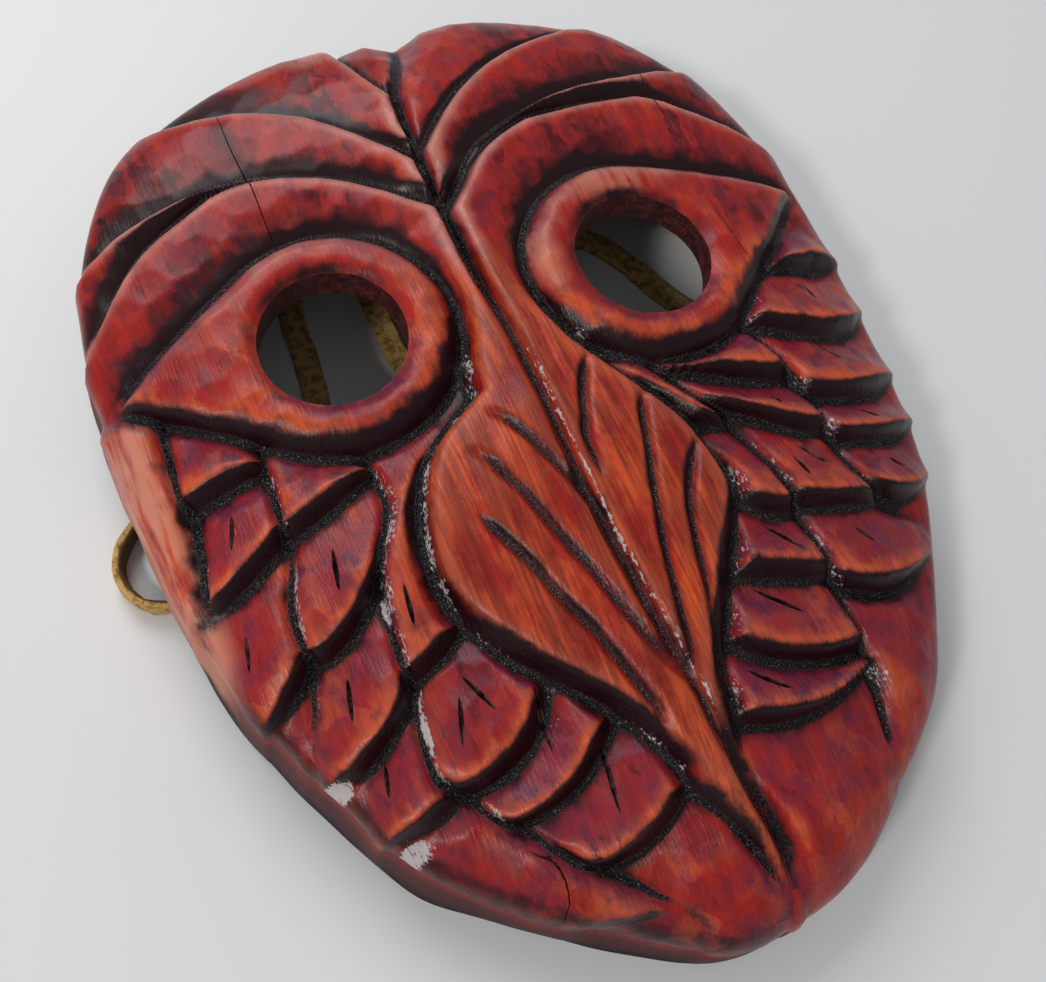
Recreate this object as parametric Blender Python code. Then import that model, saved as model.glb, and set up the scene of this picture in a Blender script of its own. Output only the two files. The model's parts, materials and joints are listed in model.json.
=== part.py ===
"""Hand-carved wooden owl mask with a suede lace, lying face up on its rim.

+X is the right of the face as seen from the front, +Y the forehead, +Z out of the face.
The origin is on the table, under the middle of the mask. Sizes are in metres. The carving is
drawn in millimetres on a plan of the face, which is stretched to the mask's width and length.
"""
import bpy
import bmesh
import numpy as np
from math import cos, pi, radians, sin
from mathutils import Vector
from mathutils.geometry import delaunay_2d_cdt

# The mask's outline and block
MASK_WIDTH = 0.2180
MASK_LENGTH = 0.2835
MASK_DEPTH = 0.0527
SIDE_HEIGHT = 0.0273
CHIN_HEIGHT = 0.0160
FOREHEAD_SHARE = 0.436
FOREHEAD_ROUNDNESS = 2.78
CHIN_ROUNDNESS = 2.0
DOME_ROUNDNESS = 2.81

# The hollow back and the rim that the mask lies on
WALL = 0.0120
EDGE_WALL = 0.0072
RIM_WIDTH = 0.0100
TEMPLE_ARCH = 0.0082
TEMPLE_ARCH_START = -0.066
TEMPLE_ARCH_END = 0.054

# The eyes
EYE_HOLE = 0.0386
EYE_RING = 0.0137

# Depths of the carving, and how far its short faces reach across the face
BROW_STEP = 0.0064
BROW_LIP = 0.0030
FEATHER_STEP = 0.0066
FEATHER_LIP = 0.0046
FEATHER_CURVE = 0.0009
EYE_STEP = 0.0050
EYE_ROUNDING = 0.0065
EYE_DROP = 0.0015
HOLE_ROUNDING = 0.0055
HOLE_FALL = 0.0022
BEAK_RISE = 0.0038
BEAK_STEP = 0.0064
RIDGE_RISE = 0.0009
CENTRE_DEPTH = 0.0036
QUILL_DEPTH = 0.0032
BEAK_CUT_DEPTH = 0.0028
BROW_CUT_DEPTH = 0.0012
LID_CUT_DEPTH = 0.0018
TOP_NOTCH_DEPTH = 0.0045
TOP_NOTCH_HALF_WIDTH = 0.0090
DEEPEST = 0.0100

# Shares of a step by which its crest is rounded, and how a long facet sags
BROW_CREST = 0.30
FEATHER_CREST = 0.06
SAG = 1.3
WALL_FOLLOW = 0.45

# The lace, and the holes that hold its ends
LACE_DIAMETER = 0.0050
LACE_FLOOR_GAP = 0.0002
SOCKET_DEPTH = 0.0045
SOCKET_CLEARANCE = 0.0006
SOCKET_HEIGHT = 0.0130
SOCKET_PLACE = 0.0360

# Fineness of the faceted solid, in drawn millimetres
OUTLINE_POINTS = 128
EYE_POINTS = 36
LINE_SPACING = 4.6
LACE_SPACING = 7.5

MM = 0.001
DRAWN_HALF_WIDTH = 110.0
DRAWN_LENGTH = 283.5
FOREHEAD = DRAWN_LENGTH * FOREHEAD_SHARE
CHIN = DRAWN_LENGTH - FOREHEAD
MIDLINE_Y = 0.8
CORNER_SHARPNESS = 60

# Flats sawn on the oval outline: direction in degrees and distance from the middle
FLATS = ((185.7, 107.8), (204.5, 116.8), (233.3, 137.7), (310.2, 139.2), (334.2, 119.2), (354.3, 107.8))
# Deepest carving allowed at the rim: drawn x, and metres
DEEPEST_AT_RIM = ((-90, -35, -12, 14, 35, 70), (0.0022, 0.0040, 0.0060, 0.0060, 0.0042, 0.0020))
EYE_CENTRES = ((-46.5, 17.0), (42.0, 13.8))
EYE_CORNERS = ((-106.6, 23.3), (106.0, 27.0))

# Quills: long cuts down the cheeks, each from the eye towards the chin
LEFT_QUILLS = (
    ((-97, 16), (-97, -12), (-99.5, -34), (-104, -48), (-103, -62), (-97, -80), (-86, -102), (-70, -126)),
    ((-75, -2), (-76.3, -28.5), (-81.3, -45), (-81.6, -58), (-84.5, -66), (-89.5, -85), (-84, -106),
     (-68, -128)),
    ((-52, -15), (-50.5, -30), (-59, -48), (-62, -72), (-64.5, -92), (-61, -101), (-42, -124.6),
     (-17, -150)),
    ((-20, -11.2), (-37.6, -23.6), (-46, -43), (-46.2, -62.9), (-38.6, -77.3), (-21.6, -97),
     (-12, -113), (-9.8, -120), (-4, -130.5), (0.6, -139.7), (5.2, -151)),
)
RIGHT_QUILLS = (
    ((13, -5), (21.3, -19.5), (30.1, -36), (33.4, -52.5), (32.6, -61), (24.4, -75.3), (12, -95.9),
     (7.5, -111), (5.6, -119), (5.8, -127), (7.2, -136), (9.2, -151)),
    ((30, -17), (36.5, -31), (43.7, -42.8), (47.9, -59.2), (49.4, -80), (49.6, -100), (50, -114), (47.7, -129)),
    ((57, -9), (64.3, -21.4), (68.6, -42.1), (70.8, -62.1), (77, -74), (85.5, -80), (88, -86), (86.5, -92),
     (84, -104), (76, -126)),
)
# Feather tips down each column: height at its left quill, at its right quill, and the sag between
LEFT_TIPS = (
    ((16, -2, 0), (-13, -10.5, 0), (-40, -29.5, -1.5), (-76, -62, -2), (-96, -87, 0), (-130, -132, 0)),
    ((-3, -16, -1), (-30.3, -21.3, -1), (-61, -47.8, -4.5), (-90, -77.5, -4), (-108, -103, -1),
     (-132, -148, 0)),
    ((-16, -12, 0), (-74.3, -66.3, -1), (-103.5, -84.5, -5), (-114, -99.5, -4), (-131, -121, -3), (-175, -175, 0)),
)
RIGHT_TIPS = (
    ((-6, -17, 0), (-37, -43, 0), (-60, -69.5, -2), (-79, -88.5, 0), (-93, -108, -4), (-112, -110.5, -6),
     (-175, -165, 0)),
    ((-17, -9, 0), (-20.5, -33.5, -3), (-36, -51.4, -3.5), (-68, -74.2, -0.5), (-91, -91, -5.5),
     (-165, -150, 0)),
    ((-8, 23, 0), (4, -4, 0), (-14, -18, -8), (-40.7, -41, -2.8), (-54.2, -56, -2.5), (-72, -71, -4),
     (-150, -130, 0)),
)
# Brow cuts, from the lid up; each runs from the nose to the rim
LEFT_BROWS = (
    ((-4.5, 47.5), (-28.7, 67), (-53, 74.5), (-70.3, 70), (-87, 62.5), (-101, 50), (-113, 38)),
    ((-4.5, 48.3), (-28.7, 67.5), (-53.7, 75.8), (-78.7, 75), (-94, 72), (-114, 64)),
    ((-3.7, 65), (-13.7, 77.5), (-27, 91.7), (-43.7, 101.7), (-58, 106), (-80, 112)),
    ((-0.3, 91), (-3.5, 99), (-7, 112), (-9, 130)),
)
RIGHT_BROWS = (
    ((-3, 46), (2.4, 51.6), (13.3, 62.5), (28, 69.3), (45, 70.5), (60, 70.5), (71, 69), (85, 60.5),
     (98, 52), (114, 42)),
    ((-3, 46.7), (2.4, 52.3), (13.3, 64.2), (26.7, 71), (45, 77), (66.7, 79.4), (90, 82), (114, 84)),
    ((-1.5, 69), (10, 81.7), (22.5, 91.7), (36.7, 99.2), (54, 105), (80, 112)),
)
CENTRE_CUT = ((12.5, 130), (8, 112), (3, 99), (-0.3, 88), (-3.7, 58), (-4, 30), (-4, -10), (-4.8, -40),
              (-4.6, -60), (-3.7, -70), (-3.1, -80), (-1.7, -90), (-0.3, -100), (0.6, -110), (2.3, -120),
              (4, -130), (6.3, -141), (7.5, -151))
# Lines engraved on the beak
BEAK_LINES = (
    ((-19.6, -17), (-16.2, -21.5), (-12.3, -29.3), (-9.3, -37), (-6.4, -46), (-5, -51)),
    ((-28.4, -25.9), (-24, -31.3), (-19.6, -42), (-15.7, -55.8), (-11.8, -67.5), (-8.3, -80), (-5.2, -89),
     (-2.5, -97)),
    ((-33.3, -40.6), (-30.4, -47), (-25.5, -57.7), (-21.6, -69.5), (-17.8, -79), (-14.4, -90), (-11.5, -99.4),
     (-9.5, -107)),
    ((13.7, -9.7), (9.8, -14.6), (5.9, -21.5), (2.9, -29.3), (1, -34.2), (0, -45)),
    ((23, -23.4), (18.6, -30.3), (14.7, -42), (10.8, -53.8), (6.6, -69), (4.2, -82), (2.3, -92.5), (1.2, -100)),
    ((29.4, -41.6), (23.5, -49), (18.6, -57.7), (15.7, -67.5), (13.2, -78.5), (10.9, -88), (9.2, -96), (8, -102)),
)
CHEEK_HOOK = ((87, -90), (82, -95), (70, -97.5), (60, -96), (50, -91.5))
QUILL_END = -90.0

# The lace's way through the hollow and out under the left rim: x, y and the share of its climb
LACE_ROUTE = (
    (-102.4, 36.0, 1.00), (-96.5, 36.0, 1.00), (-91.0, 35.8, 0.90), (-84.5, 34.0, 0.58),
    (-79.6, 28.4, 0.18), (-80.4, 20.0, 0.0), (-88.0, 13.2, 0.0), (-98.0, 9.0, 0.0), (-107.0, 4.6, 0.0),
    (-113.2, -1.4, 0.0), (-115.6, -8.6, 0.0), (-113.6, -15.8, 0.0), (-107.4, -20.2, 0.0),
    (-98.0, -20.6, 0.0), (-86.0, -15.8, 0.0), (-72.0, -6.6, 0.0), (-58.6, 5.0, 0.0), (-50.0, 20.0, 0.0),
    (-47.0, 38.0, 0.0), (-45.4, 56.0, 0.0), (-38.6, 69.0, 0.0), (-28.0, 69.6, 0.0), (-22.0, 60.0, 0.0),
    (-21.6, 44.0, 0.0), (-20.0, 27.0, 0.0), (-10.0, 13.6, 0.0), (5.0, 12.0, 0.0), (18.0, 22.0, 0.0),
    (27.6, 38.0, 0.0), (38.0, 51.0, 0.0), (50.0, 51.6, 0.0), (59.0, 40.0, 0.0), (65.6, 25.0, 0.0),
    (73.0, 13.6, 0.0), (82.6, 13.6, 0.07), (86.4, 24.0, 0.36), (90.6, 33.6, 0.82), (96.5, 36.0, 1.00),
    (102.4, 36.0, 1.00),
)


def spline(points, spacing):
    """A smooth curve through the points, as an array with a point about every spacing."""
    p = np.array(points, float)
    ends = np.vstack([2 * p[0] - p[1], p, 2 * p[-1] - p[-2]])
    made = []
    for a, b, c, d in zip(ends, ends[1:], ends[2:], ends[3:]):
        steps = max(1, round(float(np.linalg.norm(c - b)) / spacing))
        t = (np.arange(steps) / steps)[:, None]
        made.append(0.5 * (2 * b + (c - a) * t + (2 * a - 5 * b + 4 * c - d) * t**2
                           + (3 * b - a - 3 * c + d) * t**3))
    return np.vstack(made + [p[-1:]])


def smooth(points):
    return spline(points, 2.0)


def outline_share(x, y):
    """0 at the middle of the face and 1 on its outline, an oval with flats."""
    up = y > MIDLINE_Y
    n = np.where(up, FOREHEAD_ROUNDNESS, CHIN_ROUNDNESS)
    b = np.where(up, FOREHEAD, CHIN)
    oval = (np.abs(x / DRAWN_HALF_WIDTH) ** n + np.abs((y - MIDLINE_Y) / b) ** n + 1e-12) ** (1 / n)
    whole = oval**CORNER_SHARPNESS
    for direction, reach in FLATS:
        out = x * cos(radians(direction)) + (y - MIDLINE_Y) * sin(radians(direction))
        whole = whole + np.maximum(out / reach, 0) ** CORNER_SHARPNESS
    return whole ** (1 / CORNER_SHARPNESS)


def outline_point(angle):
    """The outline's point in each direction from the middle, as rows of x and y."""
    far = 100 * np.stack([np.cos(angle), np.sin(angle)], -1)
    return far / outline_share(far[..., 0], far[..., 1] + MIDLINE_Y)[..., None] + (0, MIDLINE_Y)


RIGHT_EDGE = outline_point(np.linspace(-pi / 2, pi / 2, 721))
SCALE_X = MASK_WIDTH / MM / (2 * RIGHT_EDGE[:, 0].max())
SCALE_Y = MASK_LENGTH / MM / DRAWN_LENGTH
SCALE = (SCALE_X + SCALE_Y) / 2
HOLE_RADIUS = EYE_HOLE / 2 / MM / SCALE
LID_RADIUS = (EYE_HOLE / 2 + EYE_RING) / MM / SCALE
INNER_SHARE = 1 - RIM_WIDTH / (MASK_WIDTH / 2)

LEFT_LINES = [smooth(q) for q in LEFT_QUILLS]
RIGHT_LINES = [smooth(q) for q in RIGHT_QUILLS]
LEFT_BROW_LINES = [smooth(b) for b in LEFT_BROWS]
RIGHT_BROW_LINES = [smooth(b) for b in RIGHT_BROWS]
CENTRE_LINE = smooth(CENTRE_CUT)
BEAK_CUTS = [smooth(line) for line in BEAK_LINES]
HOOK = smooth(CHEEK_HOOK)


def wide(length):
    """A length across the face, on the drawing."""
    return length / MM / SCALE


def across(curve, y):
    """x of a curve that runs down the face, at each y."""
    return np.interp(-y, -curve[:, 1], curve[:, 0])


def along(curve, x):
    """y of a curve that runs from the nose to the rim, at each x."""
    order = np.argsort(curve[:, 0])
    return np.interp(x, curve[order, 0], curve[order, 1])


def rim_line(y):
    """x of the outline on the right, at each y."""
    return np.interp(y, RIGHT_EDGE[:, 1], RIGHT_EDGE[:, 0])


def nearest(curve, x, y):
    """How far each place is from a curve, where along it the nearest point lies, and its length."""
    best, place, start = np.full(x.shape, np.inf), np.zeros(x.shape), 0.0
    for (ax, ay), (bx, by) in zip(curve, curve[1:]):
        dx, dy = bx - ax, by - ay
        t = np.clip(((x - ax) * dx + (y - ay) * dy) / (dx * dx + dy * dy), 0, 1)
        away = np.hypot(x - ax - t * dx, y - ay - t * dy)
        place = np.where(away < best, start + t * np.hypot(dx, dy), place)
        best = np.minimum(best, away)
        start += float(np.hypot(dx, dy))
    return best, place, start


def distance(curve, x, y):
    """How far each place is from a curve."""
    return nearest(curve, x, y)[0]


def ease(t):
    """0 to 1, slow at both ends."""
    t = np.clip(t, 0, 1)
    return t * t * (3 - 2 * t)


def cut(away, depth, half_width):
    """A V cut's depth, at each distance from its line."""
    return depth * np.clip(1 - away / half_width, 0, 1)


def tapered_cut(curve, x, y, depth, half_width):
    """A V cut that the knife enters slowly and leaves sooner."""
    away, place, length = nearest(curve, x, y)
    taper = np.clip(place / 9, 0, 1) ** 0.7 * np.clip((length - place) / 7 + 0.3, 0, 1)
    return cut(away, depth * taper, half_width * (0.25 + 0.75 * taper))


def shingle(near, far, lip, step, crest, reach=26.0):
    """Depth of a lapped facet: a short fall to the near line, a long rise from the far line."""
    span = near + far
    lip = np.minimum(lip, 0.3 * span) + 1e-6
    rise = np.minimum(span - lip, reach) + 1e-6
    fall, climb = np.clip(1 - near / lip, 0, 1), np.clip(1 - far / rise, 0, 1) ** SAG
    return step * 0.5 * (fall + climb + np.sqrt((fall - climb) ** 2 + crest**2))


def side_height(y):
    """Height of the side wall's top edge, lower towards the chin."""
    chin = np.clip((-y - 50) / (CHIN - 50), 0, 1) ** 2
    return (SIDE_HEIGHT + (CHIN_HEIGHT - SIDE_HEIGHT) * chin) / MM


def dome(x, y):
    """The uncarved face's height."""
    share = np.clip(outline_share(x, y), 0, 1)
    edge = side_height(y)
    return edge + (MASK_DEPTH / MM - edge) * np.sqrt(1 - share**DOME_ROUNDNESS + 1e-12)


def dome_normal(x, y):
    """The uncarved face's outward direction; level at the outline."""
    e = 0.05
    inner = np.minimum(1, 0.998 / np.maximum(outline_share(x, y), 1e-6))
    px, py = x * inner, (y - MIDLINE_Y) * inner + MIDLINE_Y
    gx = (dome(px + e, py) - dome(px - e, py)) / (2 * e)
    gy = (dome(px, py + e) - dome(px, py - e)) / (2 * e)
    n = np.stack([-gx, -gy, np.ones_like(gx)], -1)
    return n / np.linalg.norm(n, axis=-1, keepdims=True)


def eye_edge(eye, x, y):
    """Signed distance to an eye's almond: a circle drawn out to a corner. Negative inside."""
    (cx, cy), (kx, ky) = EYE_CENTRES[eye], EYE_CORNERS[eye]
    length = float(np.hypot(kx - cx, ky - cy))
    ux, uy = (kx - cx) / length, (ky - cy) / length
    s = (x - cx) * ux + (y - cy) * uy
    t = np.abs((y - cy) * ux - (x - cx) * uy)
    lean = LID_RADIUS / length
    flat = np.sqrt(1 - lean * lean)
    k = -lean * t + flat * s
    on_side = t * flat + s * lean - LID_RADIUS
    on_circle = np.hypot(s, t) - LID_RADIUS
    past_corner = np.hypot(s - length, t)
    return np.where(k < 0, on_circle, np.where(k > flat * length, past_corner, on_side))


def tip_height(tip, u):
    left, right, sag = tip
    return left + (right - left) * u + sag * 4 * u * (1 - u)


def feather_column(x, y, left, right, tips):
    """Depth in one column of lapped feathers, and how far a place lies inside the column."""
    width = np.maximum(right - left, 0.5)
    u = np.clip((x - left) / width, 0, 1)
    depth = np.full(x.shape, FEATHER_STEP / MM)
    for upper, lower in zip(tips, tips[1:]):
        above, below = tip_height(upper, u) - y, y - tip_height(lower, u)
        here = (above >= 0) & (below > 0)
        lapped = shingle(below, above, wide(FEATHER_LIP), FEATHER_STEP / MM, FEATHER_CREST)
        depth = np.where(here, lapped + cut(np.minimum(above, below), 0.8, 1.4), depth)
    return depth + FEATHER_CURVE / MM * (2 * u - 1) ** 2, np.minimum(x - left, right - x)


def cheek(x, y):
    """Depth of the columns of feathers below the eyes."""
    depth = np.zeros(x.shape)
    left = [across(line, y) for line in LEFT_LINES]
    right = [across(line, y) for line in RIGHT_LINES] + [rim_line(y) + 4]
    for lines, columns in ((left, LEFT_TIPS), (right, RIGHT_TIPS)):
        for a, b, tips in zip(lines, lines[1:], columns):
            lapped, inside = feather_column(x, y, a, b, tips)
            depth = np.where(inside >= 0, lapped, depth)
    for line in LEFT_LINES[:3] + [RIGHT_LINES[1], RIGHT_LINES[2][RIGHT_LINES[2][:, 1] > QUILL_END]]:
        away = distance(line, x, y)
        depth = depth + cut(away, QUILL_DEPTH / MM, 2.0) + np.clip(1 - away / 5, 0, 1) ** 2
    return depth + cut(distance(HOOK, x, y), QUILL_DEPTH / MM, 2.0)


def brow(x, y, lid, centre):
    """Depth of the lapped brow lobes above an eye, which run on down the nose."""
    depth = np.zeros(x.shape)
    left_side = x < across(CENTRE_LINE, y)
    for here, lines in ((left_side, LEFT_BROW_LINES), (~left_side, RIGHT_BROW_LINES)):
        edges = [along(line, x) for line in lines]
        gaps = [distance(line, x, y) for line in lines]
        lobe = shingle(np.full(x.shape, 60.0), np.minimum(gaps[-1], centre + 3), wide(BROW_LIP),
                       0.7 * BROW_STEP / MM, BROW_CREST)
        for k in range(len(lines) - 1, -1, -1):
            below = gaps[k - 1] if k else np.maximum(lid, 0)
            lapped = shingle(np.minimum(gaps[k], centre), below, wide(BROW_LIP), BROW_STEP / MM, BROW_CREST)
            lobe = np.where(y < edges[k], lapped, lobe)
        for gap in gaps:
            lobe = lobe + cut(gap, BROW_CUT_DEPTH / MM, 1.6)
        depth = np.where(here, lobe, depth)
    return depth


def beak(x, y):
    """Depth of the raised beak and nose, and how far a place lies inside them."""
    left = np.where(y > -11.2, np.interp(y, (-11.2, -4, 5, 17), (-20, -18.4, -15.6, -13.5)),
                    across(LEFT_LINES[3], y))
    right = np.where(y > -5, np.interp(y, (-5, 5, 14), (13, 10.2, 9)), across(RIGHT_LINES[0], y))
    inside = np.minimum(x - left, right - x)
    bevel = np.interp(y, (-150, -72, -54, 0), (4.0, 7.0, 3.4, 4.0))
    step = np.interp(y, (-158, -151, -140, -100, -10, 30), (0, 0.35, 0.6, 1.0, 1.0, 0.75)) * BEAK_STEP / MM
    share = np.clip(inside / bevel, 0, 1)
    rise = np.interp(y, (-150, -110, -40, 0, 50), (0.1, 0.7, 1.0, 0.6, 0.0)) * BEAK_RISE / MM
    crown = rise * (0.45 + 0.55 * np.clip(inside / 24, 0, 1))
    depth = step * (1 - share) - crown * share
    ridge = np.clip(1 - np.abs(x - across(CENTRE_LINE, y) - 3.2) / 1.6, 0, 1)
    depth = depth - RIDGE_RISE / MM * ridge * (y < 0) * (y > -125)
    for line in BEAK_CUTS:
        depth = depth + tapered_cut(line, x, y, BEAK_CUT_DEPTH / MM, 1.7)
    return depth, inside


def eye(which, x, y):
    """Depth inside an eye's almond: a rounded ring round the hole, lower towards the corner."""
    inside = -eye_edge(which, x, y)
    cx, cy = EYE_CENTRES[which]
    low = EYE_DROP * ease((cy - y) / 20)
    edge = (EYE_STEP + low) / MM * np.clip(1 - inside / wide(EYE_ROUNDING + low), 0, 1) ** 1.8
    from_hole = np.hypot(x - cx, y - cy) - HOLE_RADIUS
    return edge + HOLE_FALL / MM * np.clip(1 - from_hole / wide(HOLE_ROUNDING), 0, 1) ** 2


def carving(x, y):
    """How deep the carved face lies under the uncarved dome, in millimetres."""
    lids = [eye_edge(k, x, y) for k in (0, 1)]
    lid = np.minimum(*lids)
    centre = distance(CENTRE_LINE, x, y)
    lobes = brow(x, y, lid, centre)
    nose, inside = beak(x, y)
    nose = nose + (lobes - nose) * ease(y / 30)
    lid_height = np.where(x < 0, np.interp(x, (-106.6, -46.5), (23.3, 17)), np.interp(x, (42, 106), (13.8, 27)))
    depth = np.where(y > lid_height, lobes, cheek(x, y))
    beside = np.clip(1 + inside / 5, 0, 1) * ease((y + 158) / 18) * (y < 20)
    depth = np.maximum(depth, BEAK_STEP / MM * beside)
    depth = np.where((inside > 0) & (y < 30), nose, depth)
    depth = depth + np.maximum(EYE_STEP / MM - depth, 0) * np.clip(1 - lid / 4, 0, 1) ** 1.3
    for k in (0, 1):
        depth = np.where(lids[k] < 0, eye(k, x, y), depth)
    depth = depth + cut(np.abs(lid), LID_CUT_DEPTH / MM, 2.2)
    depth = depth + cut(centre, CENTRE_DEPTH / MM, 2.2)
    notch = cut(centre, TOP_NOTCH_DEPTH / MM, wide(TOP_NOTCH_HALF_WIDTH))
    depth = depth + notch * ease((y - 98) / 22)
    at_rim = np.interp(x, *DEEPEST_AT_RIM) * np.interp(y, (-158, -128), (0.35, 1))
    limit = at_rim + (DEEPEST - at_rim) * ease((1 - outline_share(x, y)) / 0.14)
    return np.where(depth > 0, limit / MM * np.tanh(depth * MM / limit), depth)


def carved(x, y):
    """Points of the carved face, in metres."""
    depth = carving(x, y)
    point = np.stack([x, y, dome(x, y)], -1) - depth[..., None] * dome_normal(x, y)
    return point * (SCALE_X, SCALE_Y, 1) * MM


def hollow_height(x, y):
    """Height of the hollow's roof: the dome, thinner by the wall, closing on the rim's inner edge."""
    share = np.clip(outline_share(x, y) / INNER_SHARE, 0, 1)
    edge = side_height(y) - EDGE_WALL / MM
    top = (MASK_DEPTH - WALL) / MM
    return edge + (top - edge) * np.sqrt(1 - share**DOME_ROUNDNESS + 1e-12)


def rim_arch(y):
    """Height of the rim's underside over the table: hollowed at the temples."""
    middle, half = (TEMPLE_ARCH_START + TEMPLE_ARCH_END) / 2, (TEMPLE_ARCH_END - TEMPLE_ARCH_START) / 2
    return TEMPLE_ARCH * (1 - ease(np.abs(y - middle) / half))


def shared_lines():
    """The carving's main lines on the drawing, for the facets to follow."""
    lines = [spline(line, LINE_SPACING) for line in LEFT_QUILLS + RIGHT_QUILLS + LEFT_BROWS + RIGHT_BROWS
             + BEAK_LINES + (CENTRE_CUT, CHEEK_HOOK)]
    for quills, columns in ((LEFT_LINES, LEFT_TIPS), (RIGHT_LINES, RIGHT_TIPS)):
        for number, tips in enumerate(columns):
            for tip in tips[1:-1]:
                u = np.linspace(0, 1, 7)
                y = tip_height(tip, u)
                left = across(quills[number], y)
                right = across(quills[number + 1], y) if number + 1 < len(quills) else rim_line(y)
                lines.append(np.stack([left + (right - left) * u, y], -1))
    for (cx, cy), (kx, ky) in zip(EYE_CENTRES, EYE_CORNERS):
        facing = np.arctan2(ky - cy, kx - cx)
        opening = np.arccos(LID_RADIUS / np.hypot(kx - cx, ky - cy))
        turn = facing + np.linspace(opening, 2 * pi - opening, 28)
        ring = np.stack([cx + LID_RADIUS * np.cos(turn), cy + LID_RADIUS * np.sin(turn)], -1)
        upper = np.linspace((kx, ky), ring[0], 10)
        lower = np.linspace(ring[-1], (kx, ky), 10)
        lines.append(np.vstack([upper, ring[1:-1], lower]))
    return lines


def clear_of(points, kept, gap):
    """Those of the points that are at least gap from every kept one and from each other."""
    grid = {}
    for p in kept:
        grid.setdefault((int(p[0] // gap), int(p[1] // gap)), []).append(p)
    found = []
    for p in points:
        i, j = int(p[0] // gap), int(p[1] // gap)
        near = [q for a in (i - 1, i, i + 1) for b in (j - 1, j, j + 1) for q in grid.get((a, b), [])]
        if all((p[0] - q[0]) ** 2 + (p[1] - q[1]) ** 2 >= gap * gap for q in near):
            grid.setdefault((i, j), []).append(tuple(p))
            found.append(tuple(p))
    return found


def in_hole(points, margin=0.0):
    """Whether each place lies inside an eye hole widened by the margin."""
    away = [np.linalg.norm(points - centre, axis=-1) for centre in np.array(EYE_CENTRES)]
    return np.minimum(*away) < HOLE_RADIUS + margin


def ring_of(share, count=OUTLINE_POINTS):
    """The outline shrunk to a share of its size."""
    edge = outline_point(np.arange(count) * 2 * pi / count)
    return (edge - (0, MIDLINE_Y)) * share + (0, MIDLINE_Y)


def plan(edge, lines, fills, limit):
    """Triangles between an edge and the eye holes, along the lines and through the fill points.

    Each fill is its points, their gap to other points and their gap to the eye holes.
    The loops' points are given back as indices, the edge's first."""
    turn = np.arange(EYE_POINTS) * 2 * pi / EYE_POINTS
    circle = HOLE_RADIUS * np.stack([np.cos(turn), np.sin(turn)], -1)
    loops = [edge] + [circle + centre for centre in np.array(EYE_CENTRES)]
    points = [tuple(p) for loop in loops for p in loop]
    edges = []
    start = 0
    for loop in loops:
        n = len(loop)
        edges += [(start + i, start + (i + 1) % n) for i in range(n)]
        start += n
    for line in lines:
        inside = (outline_share(line[:, 0], line[:, 1]) < 0.975) & ~in_hole(line, 1.5)
        for k in np.flatnonzero(inside):
            points.append(tuple(line[k]))
            if k and inside[k - 1]:
                edges.append((len(points) - 2, len(points) - 1))
    for more, gap, margin in fills:
        ok = (outline_share(more[:, 0], more[:, 1]) < limit) & ~in_hole(more, margin)
        points += clear_of(more[ok], points, gap)
    made = delaunay_2d_cdt([Vector(p) for p in points], edges, [], 0, 0.25)
    verts = np.array([tuple(v) for v in made[0]])
    first = [next(i for i, old in enumerate(made[3]) if k in old) for k in range(start)]
    tris = np.array(made[2])
    in_an_eye = in_hole(verts[tris].mean(axis=1)) & in_hole(verts, 0.02)[tris].all(axis=1)
    return verts, tris[~in_an_eye], first


def grid_points(spacing):
    """Points of a staggered grid over the whole drawing."""
    xs, ys = np.meshgrid(np.arange(-DRAWN_HALF_WIDTH, DRAWN_HALF_WIDTH, spacing),
                         np.arange(-CHIN, FOREHEAD, spacing * 0.87))
    xs = xs + (np.arange(len(xs)) % 2)[:, None] * spacing / 2
    return np.stack([xs.ravel(), ys.ravel()], -1)


def face_plan():
    """Plan points and triangles of the carved face."""
    lines = shared_lines()
    shoulders = []
    for line in lines:
        ahead = np.gradient(line, axis=0)
        ahead /= np.linalg.norm(ahead, axis=1, keepdims=True)
        beside = np.stack([-ahead[:, 1], ahead[:, 0]], -1)
        shoulders += [line + offset * beside for offset in (2.3, -2.3, 6.0, -6.0)]
    fills = ((ring_of(0.985), 1.0, 1.0), (ring_of(0.955), 2.0, 1.2), (np.vstack(shoulders), 2.1, 1.6),
             (ring_of(0.91), 2.6, 1.6), (grid_points(6.4), 4.4, 2.4))
    return plan(ring_of(1.0), lines, fills, 0.986)


def hollow_plan():
    """Plan points and triangles of the hollow's roof, inside the rim."""
    half = OUTLINE_POINTS // 2
    fills = ((ring_of(INNER_SHARE * 0.96, half), 3.0, 3.0), (ring_of(INNER_SHARE * 0.88, half), 6.0, 3.0),
             (grid_points(15.0), 9.0, 3.0))
    return plan(ring_of(INNER_SHARE), [], fills, INNER_SHARE * 0.97)


def facing_up(points, tris):
    """The triangles, each turned to face up, as tuples."""
    a, b, c = points[tris[:, 0]], points[tris[:, 1]], points[tris[:, 2]]
    up = np.cross(b[:, :2] - a[:, :2], c[:, :2] - a[:, :2]) > 0
    return [tuple(int(i) for i in t) for t in np.where(up[:, None], tris, tris[:, ::-1])]


def ladder(upper, lower):
    """Quads between two closed loops of the same count."""
    n = len(upper)
    return [(upper[i], lower[i], lower[(i + 1) % n], upper[(i + 1) % n]) for i in range(n)]


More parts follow.
